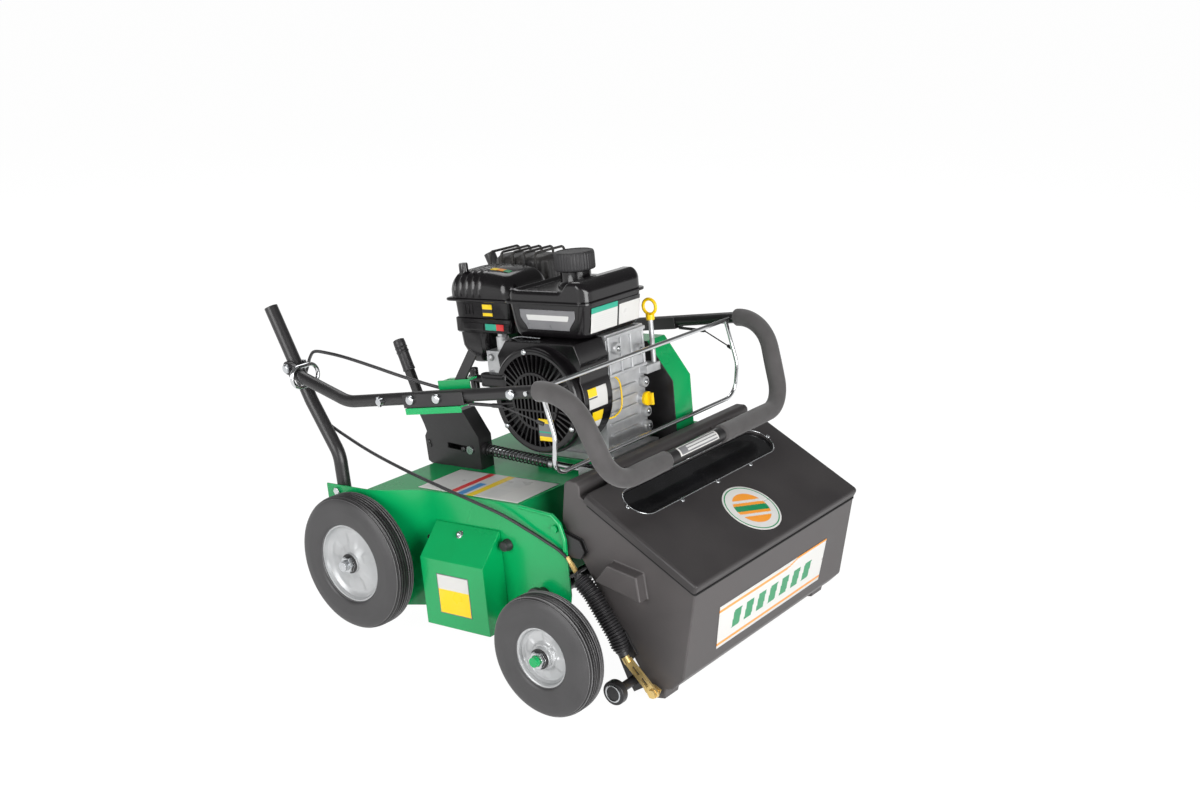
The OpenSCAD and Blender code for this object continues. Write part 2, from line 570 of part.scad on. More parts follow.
// Depth setting
module depth_box() color(black) in_body() difference() {
    union() {
        difference() {
            plate_y(box_profile, rod_y - 18, rod_y + 17);
            plate_y(inset(box_profile, 3), rod_y - 15, rod_y + 14);
        }
        on_rod() translate([0, 0, 20]) cylinder(h = 8.5, r = 13);
    }
    block([-40, rod_y - 13, 150], [62, rod_y + 13, 250]);
    cyl_y(lever_pivot.x, lever_pivot.y, rod_y - 30, rod_y + 30, 5 + run);
    on_rod() cylinder(h = 60, r = 6 + run);
    on_rod() translate([-5.5, -25, -60]) cube([11, 15, 66]);
}
module depth_lever() color(black) in_body() {
    cyl_y(lever_pivot.x, lever_pivot.y, rod_y - 20, rod_y + 16.5, 5);
    cyl_y(lever_pivot.x, lever_pivot.y, rod_y - 6, rod_y + 6, 11);
    translate([lever_pivot.x, rod_y, lever_pivot.y]) rotate([0, -lever_lean, 0]) {
        for (y = [-6, 2])
            translate([-8, y, 0]) cube([16, 4, 180]);
        translate([0, 0, 152]) cylinder(h = 58, r = 11);
    }
}
module depth_rod() color(zinc) in_body() {
    on_rod() difference() {
        union() {
            cylinder(h = 262, r = 6);
            translate([0, 0, 182]) cylinder(h = 9, r = 12.5);
            translate([-10, -10, 250]) cube([20, 20, 46]);
            translate([0, 10, rod_len]) rotate([90, 0, 0]) cylinder(h = 20, r = 10);
            translate([0, -22.5, 0]) rotate([-90, 0, 0]) cylinder(h = 22, r = 5);
            translate([0, -22.5, 0]) rotate([-90, 0, 0]) cylinder(h = 4, r = 8);
        }
        translate([-20, -5, 264]) cube([40, 10, 60]);
    }
    cyl_y(rod_front.x, rod_front.z, rod_y - 12, rod_y + 12, 5);
}
module depth_spring() color(black) in_body() on_rod() translate([0, 0, spring_from]) polyhedron(
    points = [for (i = [0 : len(spring_path) - 1]) let (q = spring_path[i],
        t = i == 0 || i == len(spring_path) - 1 ? [0, 0, 1] : tangent(spring_path, i))
        each ring(q, t, unit([q.x, q.y, 0]), spring_wire_d / 2, 6)],
    faces = concat(skin(len(spring_path), 6), caps(len(spring_path), 6)));

// Front axle
function strip(a, b, wa, wb) = let (u = unit(b - a), n = [-u.y, u.x])
    [a + n * wa, a - n * wa, b - n * wb, b + n * wb];
pin_xz = [rod_front.x, rod_front.z];
pivot_xz = [axle_pivot.x, axle_pivot.z];
hub_xz = [hub_x, hub_z];
slot_run = 4 * unit(pin_xz - pivot_xz);
module front_axle() color(black) in_body() {
    cyl_y(axle_pivot.x, axle_pivot.z, -(deck_half + 24), deck_half + 24, 14);
    both_sides() {
        plate_y(strip(pivot_xz, hub_xz, 20, 17), -(deck_half + 24), -(deck_half + 16));
        cyl_y(axle_pivot.x, axle_pivot.z, -(deck_half + 24), -(deck_half + 16), 20);
        cyl_y(hub_x, hub_z, -(deck_half + 24), -(deck_half + 16), 17);
        cyl_y(hub_x, hub_z, -front_shoulder, -(deck_half + 18), axle_r + 4);
        cyl_y(hub_x, hub_z, -(front_hub_out + 7.5), -(deck_half + 18), axle_r);
        cyl_y(hub_x, hub_z, -(front_hub_out + 14), -front_hub_out, axle_r - 1);
        translate([hub_x, -(front_hub_out + 7.5), hub_z]) rotate([90, 0, 0])
            cylinder(h = 1, r1 = axle_r, r2 = axle_r - 1);
    }
    difference() {
        union() {
            plate_y(strip(pivot_xz, pin_xz, 15, 11), rod_y - 4, rod_y + 4);
            cyl_y(rod_front.x, rod_front.z, rod_y - 4, rod_y + 4, 11);
        }
        plate_y(strip(pin_xz - slot_run, pin_xz + slot_run, 5.4, 5.4), rod_y - 9, rod_y + 9);
        for (q = [pin_xz - slot_run, pin_xz + slot_run])
            cyl_y(q.x, q.y, rod_y - 9, rod_y + 9, 5.4);
    }
}
module front_axle_nuts() color(zinc) in_body() both_sides() difference() {
    union() {
        hex_y(hub_x, hub_z, -(front_hub_out + 7), -(front_hub_out - 0.5), axle_r + 5.5);
        cyl_y(hub_x, hub_z, -(front_hub_out - 0.5), -(front_hub_out - 2.5), axle_r + 8);
    }
    cyl_y(hub_x, hub_z, -500, 0, axle_r + run);
}

// Hopper, lid and window
module hopper() color(black) in_body() {
    difference() {
        union() {
            plate_y(hopper_profile, -hop_half, hop_half);
            both_sides() {
                plate_y([[502, 17], [531, 50], [590, 38], [594, -6]], -hop_half - 22, -hop_half + 1);
                plate_y([[590, -168], [594, -182], [610, -180], [616, -160]], -hop_half, -hop_half + 40);
            }
        }
        plate_y(inset(hopper_profile, hopper_wall), -hop_half + hopper_wall, hop_half - hopper_wall);
        on_lid() block([9, -hop_half + hopper_wall, rim_n - 14], [lid_len - 9, hop_half - hopper_wall, 4]);
        on_wall() translate([14, -10, 8 - hop_half]) cube([18, 20, hopper_w - 16]);
    }
    on_lid() for (y = [-190, -138, 130, 182]) {
        cyl_y(hinge_s, hinge_n, y, y + 8, 5.5);
        block([hinge_s - 14, y, hinge_n - 5.5], [hinge_s, y + 8, hinge_n + 5.5]);
    }
    on_lid() for (y = [-190, 130])
        cyl_y(hinge_s, hinge_n, y + 4, y + 56, 4);
}
module hopper_lid() color(black) in_body() on_lid() difference() {
    union() {
        difference() {
            block([0, -lid_half, -lid_t], [lid_len, lid_half, 0]);
            block([6, 6 - lid_half, -lid_t - 1], [lid_len - 6, lid_half - 6, -5]);
        }
        for (y = [-180, 140]) {
            cyl_y(hinge_s, hinge_n, y, y + 40, 7);
            block([hinge_s, y, hinge_n - 6.5], [2, y + 40, hinge_n + 6.5]);
        }
    }
    translate([57, 0, -10]) linear_extrude(20) {
        square([64, 372], center = true);
        for (y = [-186, 186])
            translate([0, y]) circle(32);
    }
    for (y = [-180, 140])
        cyl_y(hinge_s, hinge_n, y - 1, y + 41, 4 + run);
}
module lid_window() color([0.1, 0.11, 0.12]) in_body() on_lid() block([18, -230, -8.2], [96, 230, -5.2]);

// Seed gate, roller, bellows and brackets
bracket_t = 3;
strap_top = [553, -115];
strap_end = [601, -164];
module seed_gate() color(yellow_zinc) in_body() {
    on_wall() {
        translate([4, 0.4, 9 - hop_half]) cube([46, gate_t, hopper_w - 18]);
        translate([4, 0.4, hop_half - 10]) cube([14, gate_t, 20]);
    }
    plate_y([[573, -157], [581, -171], [604, -174], [611, -160], [598, -153]], -hop_half - 10, -hop_half - 6.5);
    cyl_y(strap_end.x, strap_end.y, -hop_half - 23, -hop_half - 7, 5);
    hex_y(strap_end.x, strap_end.y, -hop_half - 23, -hop_half - 17, 8);
    difference() {
        union() {
            plate_y(strip(strap_top, strap_end, 9, 9), bellows_y - 1, bellows_y + 3);
            cyl_y(strap_end.x, strap_end.y, bellows_y - 1, bellows_y + 3, 9);
        }
        for (t = [0.2, 0.55])
            plate_y(strip(strap_top + (strap_end - strap_top) * t, strap_top + (strap_end - strap_top) * (t + 0.25),
                          3, 3), bellows_y - 9, bellows_y + 9);
    }
    rod(bellows_foot + 0.4 * unit(bellows_foot - bellows_top),
        bellows_foot + 12 * unit(bellows_foot - bellows_top), 7);
}
module feed_roller() color(black) in_body() on_wall() translate([roller_a, roller_b, 0]) {
    translate([0, 0, 12 - hop_half]) cylinder(h = hopper_w - 24, r = roller_d / 2);
    translate([0, 0, -hop_half - 10]) cylinder(h = hopper_w + 60, r = 8);
    translate([0, 0, hop_half + 48]) cylinder(h = 14, r = 21);
}
module roller_bracket() difference() {
    linear_extrude(4) polygon([[12, 6], [12, 32], [34, 32], [90, 24], [110, -14], [66, -14], [60, 6]]);
    translate([roller_a, roller_b, -1]) cylinder(h = 8, r = 8 + run);
}
module hopper_brackets() color(black) in_body() {
    on_wall() {
        translate([0, 0, hop_half + gap]) roller_bracket();
        translate([0, 0, -hop_half - gap - 4]) roller_bracket();
    }
    both_sides() {
        for (y = [sheet_t + 0.2 - deck_half, -hop_half - gap - bracket_t])
            plate_y([[415, 48], [415, 80], [430, 92], [470, 80], [478, 60], [470, 48]], y, y + bracket_t);
        block([415, sheet_t + 0.2 - deck_half, 48], [470, -hop_half - gap, 48 + bracket_t]);
    }
    along(bellows_top, bellows_foot) difference() {
        translate([-11, -9, -9]) cube([22, -hop_half - gap - bellows_y + 9, 4]);
        translate([0, 0, -20]) cylinder(h = 40, r = 4.2);
    }
    along(bellows_top, bellows_foot) translate([0, 0, -26]) cylinder(h = 25.6, r = 4);
    along(bellows_top, bellows_foot) translate([0, 0, -4.8]) cylinder(h = 4.4, r = 8, $fn = 6);
}
rib_n = 2 * bellows_ribs + 1;
bel_l = norm(bellows_foot - bellows_top) - 0.4;
module gate_bellows() color(black) in_body() along(bellows_top, bellows_foot) polyhedron(
    points = concat(
        [for (i = [0 : rib_n - 1]) let (r = bellows_d / 2 - (i % 2 == 0 ? 3 : 0)) each
            [for (k = [0 : 7]) [r * cos(45 * k), r * sin(45 * k), bel_l * i / (rib_n - 1)]]],
        [for (i = [1, 0]) each [for (k = [0 : 7]) [5 * cos(45 * k), 5 * sin(45 * k), bel_l * i]]]),
    faces = tube_faces(rib_n + 2, 8));
function tube_faces(n, m) = concat(
    [for (i = [0 : n - 1]) for (k = [0 : m - 1]) let (j = (i + 1) % n) [i * m + k, j * m + k, j * m + (k + 1) % m]],
    [for (i = [0 : n - 1]) for (k = [0 : m - 1]) let (j = (i + 1) % n)
        [i * m + k, j * m + (k + 1) % m, i * m + (k + 1) % m]]);
cable_path = curve(cable_route, 3);
module seed_cable() color(black) in_body() polyhedron(
    points = [for (i = [0 : len(cable_path) - 1])
        each ring(cable_path[i], tangent(cable_path, i), [0, 1, 0], cable_d / 2, 8)],
    faces = concat(skin(len(cable_path), 8), caps(len(cable_path), 8)));

// Engine
tank_z = 378;
gauge = [386, 85, 378];
gauge_ring = 14;
cleaner_foot_x = 114;
muffler_lo = [20, 58, 272];
muffler_hi = [160, 136, 497];
muffler_t = 3;
muffler_y = (muffler_lo.y + muffler_hi.y) / 2;
guard_r = 2.5;
guard_near = muffler_lo.y - guard_r - 0.7;
guard_far = muffler_hi.y + 7;
guard_top = muffler_hi.z + 6;
guard_xs = [for (i = [0 : 4]) muffler_lo.x + 12 + 29 * i];
module crankcase() color(alloy) in_body() difference() {
    union() {
        block([228, -60, deck_top + 18.2], [378, 62, 300]);
        block([215, -68, deck_top + 18.2], [394, 70, deck_top + 30]);
        cyl_y(crank_c.x, crank_c.y, 60, 78, 32);
        block([318, -56, 299], [388, 56, tank_z - gap]);
        block([368, 50, 284], [396, 91, 299]);
        translate([gauge.x, gauge.y, 290]) cylinder(h = gauge.z - 290, r = 4.8);
        translate([376, 48, 238]) rotate([0, 90, 0]) cylinder(h = 12, r = 13);
        for (z = [170 : 20 : 270])
            block([376, -50, z], [384, 30, z + 4]);
    }
    cyl_y(crank_c.x, crank_c.y, 23, 100, 12.5 + run);
    translate([gauge.x, gauge.y, 300]) cylinder(h = 130, r = 3 + run);
    translate([380, 48, 238]) rotate([0, 90, 0]) cylinder(h = 12, r = 7 + run);
}
module cylinder_head() color(alloy) in_body() difference() {
    block([118, -42, 205], [227.7, 52, 305]);
    for (x = [126 : 12 : 216]) {
        block([x, -60, 190], [x + 6, -30, 320]);
        block([x, 44, 190], [x + 6, 60, 286]);
    }
}
module blower_shape(d) {
    cyl_y(crank_c.x, crank_c.y, -140 + d, -60.3 + d, blower_d / 2 - d);
    plate_y([[212 + d, 290], [388 - d, 290], [396 - d, 345], [384 - d, 377.6 - d], [226 + d, 377.6 - d],
             [204 + d, 350]], -140 + d, -60.3 + d);
}
module blower_housing() color(black) in_body() difference() {
    blower_shape(0);
    blower_shape(3);
}
module recoil_cover() color(black) in_body() difference() {
    union() {
        cyl_y(crank_c.x, crank_c.y, -156, -140.3, blower_d / 2 - 4);
        cyl_y(crank_c.x, crank_c.y, -160, -155, 34);
        block([172, -156, 294], [230, -141, 318]);
    }
    for (a = [0 : 15 : 345])
        translate([crank_c.x, 0, crank_c.y]) rotate([0, a, 0]) block([48, -170, -2], [84, -148, 2]);
    translate([160, -148.5, 306]) rotate([0, 90, 0]) cylinder(h = 40, r = 3);
}
module starter_grip() color(black) in_body() {
    translate([138, -148.5, 306]) rotate([0, 90, 0]) cylinder(h = 33.5, r = 7);
    translate([150, -148.5, 286]) cylinder(h = 40, r = 8);
    translate([170, -148.5, 306]) rotate([0, 90, 0]) cylinder(h = 20, r = 2.5);
}
module fuel_tank() color(black) in_body() difference() {
    union() {
        plate_y([[216, tank_z], [382, tank_z], [392, 441], [206, 441]], -104, 64);
        block([200, -112, 440], [397, 72, 445]);
        plate_y([[206, 444], [392, 444], [392, 474], [372, 500], [330, 500], [300, 484], [226, 484], [206, 470]],
                -106, 66);
    }
    translate([306, -20, 483]) cylinder(h = 40, r = fuel_cap_d / 2 + 5);
    translate([306, -20, 470]) cylinder(h = 40, r = 24 + run);
}
module fuel_cap() color(black) in_body() translate([306, -20, 0]) {
    translate([0, 0, 488]) cylinder(h = 35, r = fuel_cap_d / 2);
    translate([0, 0, 472]) cylinder(h = 17, r = 24);
}
module air_cleaner() color(black) in_body() {
    block([40, -70, 312], [cleaner_foot_x, 42, 373]);
    block([34, -70, 372], [184, 42, 433]);
    block([22, -78, 432], [196, 50, 437]);
    plate_y([[28, 436], [190, 436], [186, 470], [170, 490], [52, 490], [32, 470]], -74, 46);
    translate([60, -52, 485]) cylinder(h = 16, r = 9);
}
module carburettor() color(alloy) in_body() {
    block([120, -78, 280], [176, -42.3, 340]);
    translate([148, -60, 250]) cylinder(h = 32, r = 17);
    translate([148, -60, 338]) cylinder(h = 28, r = 12);
    block([158, -75, 338], [182, -48, 361]);
    translate([cleaner_foot_x + gap, -60, 324]) rotate([0, 90, 0])
        cylinder(h = 121 - cleaner_foot_x - gap, r = 13);
}
module muffler() color(zinc) in_body() difference() {
    union() {
        block(muffler_lo, muffler_hi);
        block([122, 52.3, 276], [156, muffler_lo.y + 1, 302]);
        translate([muffler_lo.x + 20, muffler_y, 382]) rotate([0, -90, 0]) cylinder(h = 45, r = 14);
    }
    block(muffler_lo + muffler_t * [1, 1, 1], muffler_hi - muffler_t * [1, 1, 1]);
    translate([muffler_lo.x + 30, muffler_y, 382]) rotate([0, -90, 0]) cylinder(h = 60, r = 11);
}
module muffler_guard() color(zinc) in_body() {
    for (x = guard_xs)
        tube_run([[x, guard_near, 452], [x, guard_near, guard_top], [x, guard_far, guard_top],
                  [x, guard_far, 312]], [0, 9, 9, 0], guard_r);
    for (z = [332, 462]) {
        rod([muffler_lo.x + 2, guard_far, z], [muffler_hi.x - 2, guard_far, z], guard_r);
        for (x = [guard_xs[1], guard_xs[3]])
            rod([x, muffler_hi.y + gap, z], [x, guard_far, z], guard_r);
    }
    rod([muffler_lo.x + 2, guard_near, 458], [muffler_hi.x - 2, guard_near, 458], guard_r);
}
module dipstick() color(yellow) in_body() translate(gauge) {
    translate([0, 0, -68]) cylinder(h = 74, r = 3);
    translate([0, 0, gap]) cylinder(h = 10, r = 8);
    translate([0, 0, gauge_ring + gap + 10.2]) rotate([90, 0, 0]) rotate_extrude()
        translate([gauge_ring, 0]) circle(3, $fn = 24);
}
module oil_cap() color(yellow) in_body() translate([0, 48, 238]) {
    translate([381, 0, 0]) rotate([0, 90, 0]) cylinder(h = 14, r = 7);
    translate([388.3, 0, 0]) rotate([0, 90, 0]) cylinder(h = 6, r = 13);
    block([394, -3, -11], [405, 3, 11]);
}

deck();
reel_covers();
rear_axle();
fasteners();
lower_handle_right();
lower_handle_left();
depth_box();
belt_guard();
guard_backplate();
drive_belt();
crankcase();
cylinder_head();
blower_housing();
recoil_cover();
fuel_tank();
air_cleaner();
carburettor();
muffler();
muffler_guard();
hopper();
hopper_brackets();
seed_cable();
gate_bellows();
rear_tyre_right();
rear_rim_right();
rear_tyre_left();
rear_rim_left();
front_axle();
front_axle_nuts();
front_tyre_right();
front_rim_right();
front_tyre_left();
front_rim_left();
depth_lever();
depth_rod();
depth_spring();
reel_shaft();
reel_blades();
crankshaft();
idler_arm();
upper_handle();
handle_grips();
bar_sleeve();
handle_bolts();
splice_plates();
lever_bracket();
seed_lever();
bail();
clutch_cables();
lock_ring_right();
lock_ring_left();
hopper_lid();
lid_window();
seed_gate();
feed_roller();
fuel_cap();
dipstick();
oil_cap();
starter_grip();
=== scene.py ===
"""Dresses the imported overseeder: finishes for its solids, and finer surfaces for what the solids keep plain.

Sizes are in millimetres on the machine, whose frame is tilted about the rear axle; MachineFrame turns them into
metres in the shared frame.
"""

import json
import logging
import math
from dataclasses import dataclass, field
from enum import Enum
from typing import Any, Callable, Sequence

import bmesh
import bpy
import numpy as np
from mathutils import Matrix


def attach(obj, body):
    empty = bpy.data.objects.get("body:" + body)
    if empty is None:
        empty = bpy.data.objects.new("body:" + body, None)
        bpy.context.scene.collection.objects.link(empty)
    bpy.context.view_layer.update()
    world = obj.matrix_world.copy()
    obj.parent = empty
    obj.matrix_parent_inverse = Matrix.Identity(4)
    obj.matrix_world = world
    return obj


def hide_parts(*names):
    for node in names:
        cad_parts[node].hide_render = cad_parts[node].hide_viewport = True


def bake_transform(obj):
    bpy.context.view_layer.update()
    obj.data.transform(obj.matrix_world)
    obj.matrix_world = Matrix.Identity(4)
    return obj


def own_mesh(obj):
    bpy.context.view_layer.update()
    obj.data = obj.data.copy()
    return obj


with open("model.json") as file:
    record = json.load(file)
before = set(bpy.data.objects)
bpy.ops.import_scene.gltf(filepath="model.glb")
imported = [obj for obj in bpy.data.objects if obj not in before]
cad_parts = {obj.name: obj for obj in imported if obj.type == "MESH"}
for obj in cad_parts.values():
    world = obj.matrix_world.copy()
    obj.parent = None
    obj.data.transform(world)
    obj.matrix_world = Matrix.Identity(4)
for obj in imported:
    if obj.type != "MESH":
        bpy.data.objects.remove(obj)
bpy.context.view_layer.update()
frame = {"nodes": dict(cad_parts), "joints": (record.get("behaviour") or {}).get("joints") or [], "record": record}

log = logging.getLogger("overseeder")
Array = np.ndarray
Point = Sequence[float]
Points = Sequence[Point] | Array
Spot = tuple[float, float, float]
Span = tuple[float, float]
Surface = Callable[[Array, Array], Array]
CHASSIS = "chassis"
MM = 0.001
UP, ACROSS, OUT, FORWARD, REARWARD = (0, 0, 1), (0, 1, 0), (0, -1, 0), (1, 0, 0), (-1, 0, 0)
# How far a printed film lies off its surface, in mm, and off one that isn't quite flat.
FILM_GAP, CURVED_GAP = 0.6, 0.7
# Points nearer than these, in metres, are one point, on a made surface and on a solid's triangles.
MADE_MERGE, SOLID_MERGE = 2e-6, 4e-6
# A solid's triangles within this angle of each other, in degrees, are one flat face.
FLAT_ANGLE = 0.4


# ---------------------------------------------------------------- frame and arrays

@dataclass(frozen=True)
class MachineFrame:
    """The machine's own frame: millimetres from the middle of the rear axle, tilted with the body."""

    x_mid: float
    ground: float
    tilt: float

    @classmethod
    def from_joints(cls, joints: list[dict[str, Any]]) -> "MachineFrame":
        """Reads the axle's place and the body's tilt from the joints.

        Args:
            joints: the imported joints.
        Returns:
            The machine's frame.
        """
        named = {joint["name"]: joint for joint in joints}
        hub, up = named["rear_wheel_right_spin"]["pos_m"], named["fuel_cap_turn"]["axis"]
        return cls(-hub[0], hub[2], math.atan2(-up[0], up[2]))

    def turned(self, v: Point | Array) -> Array:
        """A vector turned by the tilt about the axle: x cos - z sin, y, x sin + z cos."""
        v = np.asarray(v, float)
        c, s = math.cos(self.tilt), math.sin(self.tilt)
        return np.stack([v[..., 0] * c - v[..., 2] * s, v[..., 1], v[..., 0] * s + v[..., 2] * c], -1)

    def placed(self, p: Point | Array) -> Array:
        """Points in metres in the shared frame: turned, then moved to the ground under the machine's middle."""
        return self.turned(p) * MM + np.array([-self.x_mid, 0.0, self.ground])

    def measured(self, p: Array) -> Array:
        """Points of the shared frame in millimetres on the machine, the other way round."""
        v = (np.asarray(p, float) - [-self.x_mid, 0.0, self.ground]) / MM
        c, s = math.cos(self.tilt), math.sin(self.tilt)
        return np.stack([v[..., 0] * c + v[..., 2] * s, v[..., 1], v[..., 2] * c - v[..., 0] * s], -1)


MACHINE = MachineFrame.from_joints(frame["joints"])
BODY_OF = {node: body for body, nodes in frame["record"]["behaviour"]["bodies"].items() for node in nodes}
SLOT_OF = {part["node"]: part["material_slot"] for part in frame["record"]["subparts"]}


def unit(v: Array) -> Array:
    """Vectors divided by their lengths."""
    v = np.asarray(v, float)
    return v / np.linalg.norm(v, axis=-1, keepdims=True)


def ease(t: Array | float) -> Array:
    """The smooth step 3t² - 2t³ of t held between 0 and 1."""
    t = np.clip(t, 0.0, 1.0)
    return t * t * (3 - 2 * t)


def spline(points: Points, per: int = 8) -> Array:
    """A curve through points: each span is the cubic whose end slopes are half the chord past its neighbours.

    Args:
        points: the points, in any number of dimensions.
        per: samples in each span.
    Returns:
        The samples, ends included.
    """
    p = np.asarray(points, float)
    p = np.vstack([2 * p[0] - p[1], p, 2 * p[-1] - p[-2]])
    t = np.linspace(0, 1, per, endpoint=False)[None, :, None]
    a, b, c, d = (p[i:len(p) - 3 + i, None] for i in range(4))
    q = 0.5 * (2 * b + (c - a) * t + (2 * a - 5 * b + 4 * c - d) * t**2 + (3 * b - a - 3 * c + d) * t**3)
    return np.vstack([q.reshape(-1, p.shape[1]), p[-2]])


def evenly(path: Array, step: float) -> Array:
    """The path sampled again at even steps along its length.

    Args:
        path: the points of the path.
        step: distance between samples.
    Returns:
        The samples, ends included.
    """
    run = np.concatenate([[0], np.cumsum(np.linalg.norm(np.diff(path, axis=0), axis=1))])
    at = np.linspace(0, run[-1], max(int(run[-1] / step), 2) + 1)
    return np.stack([np.interp(at, run, path[:, k]) for k in range(path.shape[1])], -1)


def bent_path(corners: Points, radii: Sequence[float], step: float = 4.0) -> Array:
    """Straight runs joined by arcs, as a tube is bent: each arc touches the two runs of its corner.

    Args:
        corners: the points where the straight runs would meet, ends included.
        radii: the radius of each inner corner's arc.
        step: distance between samples.
    Returns:
        The samples along the bent line.
    """
    corners = np.asarray(corners, float)
    runs = [corners[:1]]
    for before, corner, after, radius in zip(corners[:-2], corners[1:-1], corners[2:], radii):
        u, v = unit(corner - before), unit(after - corner)
        turn = math.acos(float(np.clip(u @ v, -1, 1)))
        angle = np.linspace(0, turn, 24)[:, None]
        start = corner - u * radius * math.tan(turn / 2)
        runs.append(start + radius * (np.sin(angle) * u + (1 - np.cos(angle)) * unit(v - u * (u @ v))))
    return evenly(np.vstack([*runs, corners[-1:]]), step)


# ---------------------------------------------------------------- surfaces

@dataclass
class Shell:
    """Points in mm on the machine, with the faces between them."""

    points: Array
    quads: Array
    caps: list[list[int]] = field(default_factory=list)

    def __add__(self, other: "Shell") -> "Shell":
        """Both shells as one, the second's faces numbered on."""
        shift = len(self.points)
        return Shell(np.vstack([self.points, other.points]), np.vstack([self.quads, other.quads + shift]),
                     self.caps + [[i + shift for i in cap] for cap in other.caps])

    def moved(self, way: Point) -> "Shell":
        """The same shell moved along."""
        return Shell(self.points + np.asarray(way, float), self.quads, self.caps)

    def mirrored(self) -> "Shell":
        """The same shell on the machine's other side."""
        return Shell(self.points * [1, -1, 1], self.quads[:, ::-1], [cap[::-1] for cap in self.caps])

    def both(self) -> "Shell":
        """The shell and its mirror image."""
        return self + self.mirrored()


def joined(*shells: Shell) -> Shell:
    """Several shells as one."""
    return sum(shells[1:], shells[0])


def over_grid(grid: Array, around: bool = True, closed: bool = False, capped: bool = True) -> Shell:
    """Faces between neighbouring points of a grid.

    Args:
        grid: points, rows by columns.
        around: the last column joins the first.
        closed: the last row joins the first.
        capped: the first and last rows are filled.
    Returns:
        The shell.
    """
    n, m = grid.shape[:2]
    i, j = np.meshgrid(np.arange(n if closed else n - 1), np.arange(m if around else m - 1), indexing="ij")
    k, l = (i + 1) % n, (j + 1) % m
    quads = np.stack([i * m + j, i * m + l, k * m + l, k * m + j], -1).reshape(-1, 4)
    ends = [list(range(m))[::-1], list(range((n - 1) * m, n * m))] if capped and not closed else []
    return Shell(grid.reshape(-1, 3), quads, ends)


def carried(path: Array, section: Array, up: Point = ACROSS, closed: bool = False) -> Shell:
    """A section carried along a path: its two axes are the path's crossing with up, and the crossing of that.

    Args:
        path: stations along the way.
        section: points across it, one set or one for each station.
        up: a direction that the path never runs along.
        closed: the path comes back to its start.
    Returns:
        The closed shell.
    """
    path = np.asarray(path, float)
    way = unit(np.roll(path, -1, 0) - np.roll(path, 1, 0) if closed else np.gradient(path, axis=0))
    a = unit(np.cross(way, up))
    b = np.cross(a, way)
    section = np.broadcast_to(section, (len(path), *np.asarray(section).shape[-2:]))
    return over_grid(path[:, None] + section[..., :1] * a[:, None] + section[..., 1:] * b[:, None], closed=closed)


def circle(radius: float | Array, sides: int = 16) -> Array:
    """A circle's points, or one circle for each radius."""
    angle = np.linspace(0, 2 * np.pi, sides, endpoint=False)
    return np.asarray(radius, float)[..., None, None] * np.stack([np.cos(angle), np.sin(angle)], -1)


def wire(path: Array, radius: float | Array, sides: int = 12, up: Point = ACROSS) -> Shell:
    """A round wire: a circle carried along a path."""
    return carried(path, circle(radius, sides), up)


def turned(radius: Point | Array, height: Point | Array, centre: Point, axis: Point, sides: int = 48,
           closed: bool = False) -> Shell:
    """A profile turned about an axis: each point is height along the axis and radius across it.

    Args:
        radius: the profile's radii, or one row of them for each angle.
        height: its heights, in the same way.
        centre: the point at height 0.
        axis: the direction of height.
        sides: angles round the axis.
        closed: the profile is a ring that closes on itself.
    Returns:
        The closed shell.
    """
    axis = unit(axis)
    across = unit(np.cross(axis, [0.31, 0.2, 0.93]))
    angle = np.linspace(0, 2 * np.pi, sides, endpoint=False)
    spoke = np.cos(angle)[:, None] * across + np.sin(angle)[:, None] * np.cross(axis, across)
    shape = (sides, np.asarray(radius).shape[-1], 1)
    r = np.broadcast_to(np.asarray(radius, float)[..., None], shape)
    h = np.broadcast_to(np.asarray(height, float)[..., None], shape)
    grid = np.asarray(centre, float) + r * spoke[:, None] + h * axis
    return over_grid(grid.transpose(1, 0, 2), closed=closed)


def lathe(profile: Points, centre: Point, axis: Point, sides: int, closed: bool = False) -> Shell:
    """The same for a profile given as pairs of radius and height."""
    return turned(*np.transpose(profile), centre, axis, sides, closed)


def rounded(x0: Array | float, x1: Array | float, y0: Array | float, y1: Array | float, corner: Array | float,
            per: int = 8) -> Array:
    """Outlines of rectangles with quarter circles for corners, as points in order.

    Args:
        x0, x1, y0, y1: the sides, one value or one for each outline.
        corner: the corners' radii.
        per: points on each straight side and each corner.
    Returns:
        The outlines' points.
    """
    sizes = (np.atleast_1d(np.asarray(v, float)) for v in (x0, x1, y0, y1, corner))
    x0, x1, y0, y1, corner = np.broadcast_arrays(*sizes)
    corner = np.clip(np.minimum(corner, np.minimum(x1 - x0, y1 - y0) / 2), 0.01, None)[:, None]
    quarter = np.linspace(0, np.pi / 2, per)
    turn = (np.arange(4)[:, None] * np.pi / 2 + quarter).ravel()
    right = np.repeat([1, 0, 0, 1], per)
    top = np.repeat([1, 1, 0, 0], per)
    cx = np.where(right, x1[:, None] - corner, x0[:, None] + corner)
    cy = np.where(top, y1[:, None] - corner, y0[:, None] + corner)
    ring = np.stack([cx + corner * np.cos(turn), cy + corner * np.sin(turn)], -1)
    ends = ring.reshape(len(ring), 4, per, 2)
    side = np.roll(ends, -1, 1)[:, :, :1] - ends[:, :, -1:]
    fill = ends[:, :, -1:] + side * np.linspace(0, 1, per + 2)[1:-1][None, None, :, None]
    return np.concatenate([ends, fill], 2).reshape(len(ring), -1, 2)


def stacked(levels: Points, per: int = 8) -> Shell:
    """Rounded rectangles stacked through levels.

    Args:
        levels: rows of z, x0, x1, y0, y1 and corner radius.
        per: points on each side and corner.
    Returns:
        The closed shell.
    """
    z, x0, x1, y0, y1, corner = np.asarray(levels, float).T
    outline = rounded(x0, x1, y0, y1, corner, per)
    height = np.broadcast_to(z[:, None, None], (*outline.shape[:2], 1))
    return over_grid(np.concatenate([outline, height], -1))


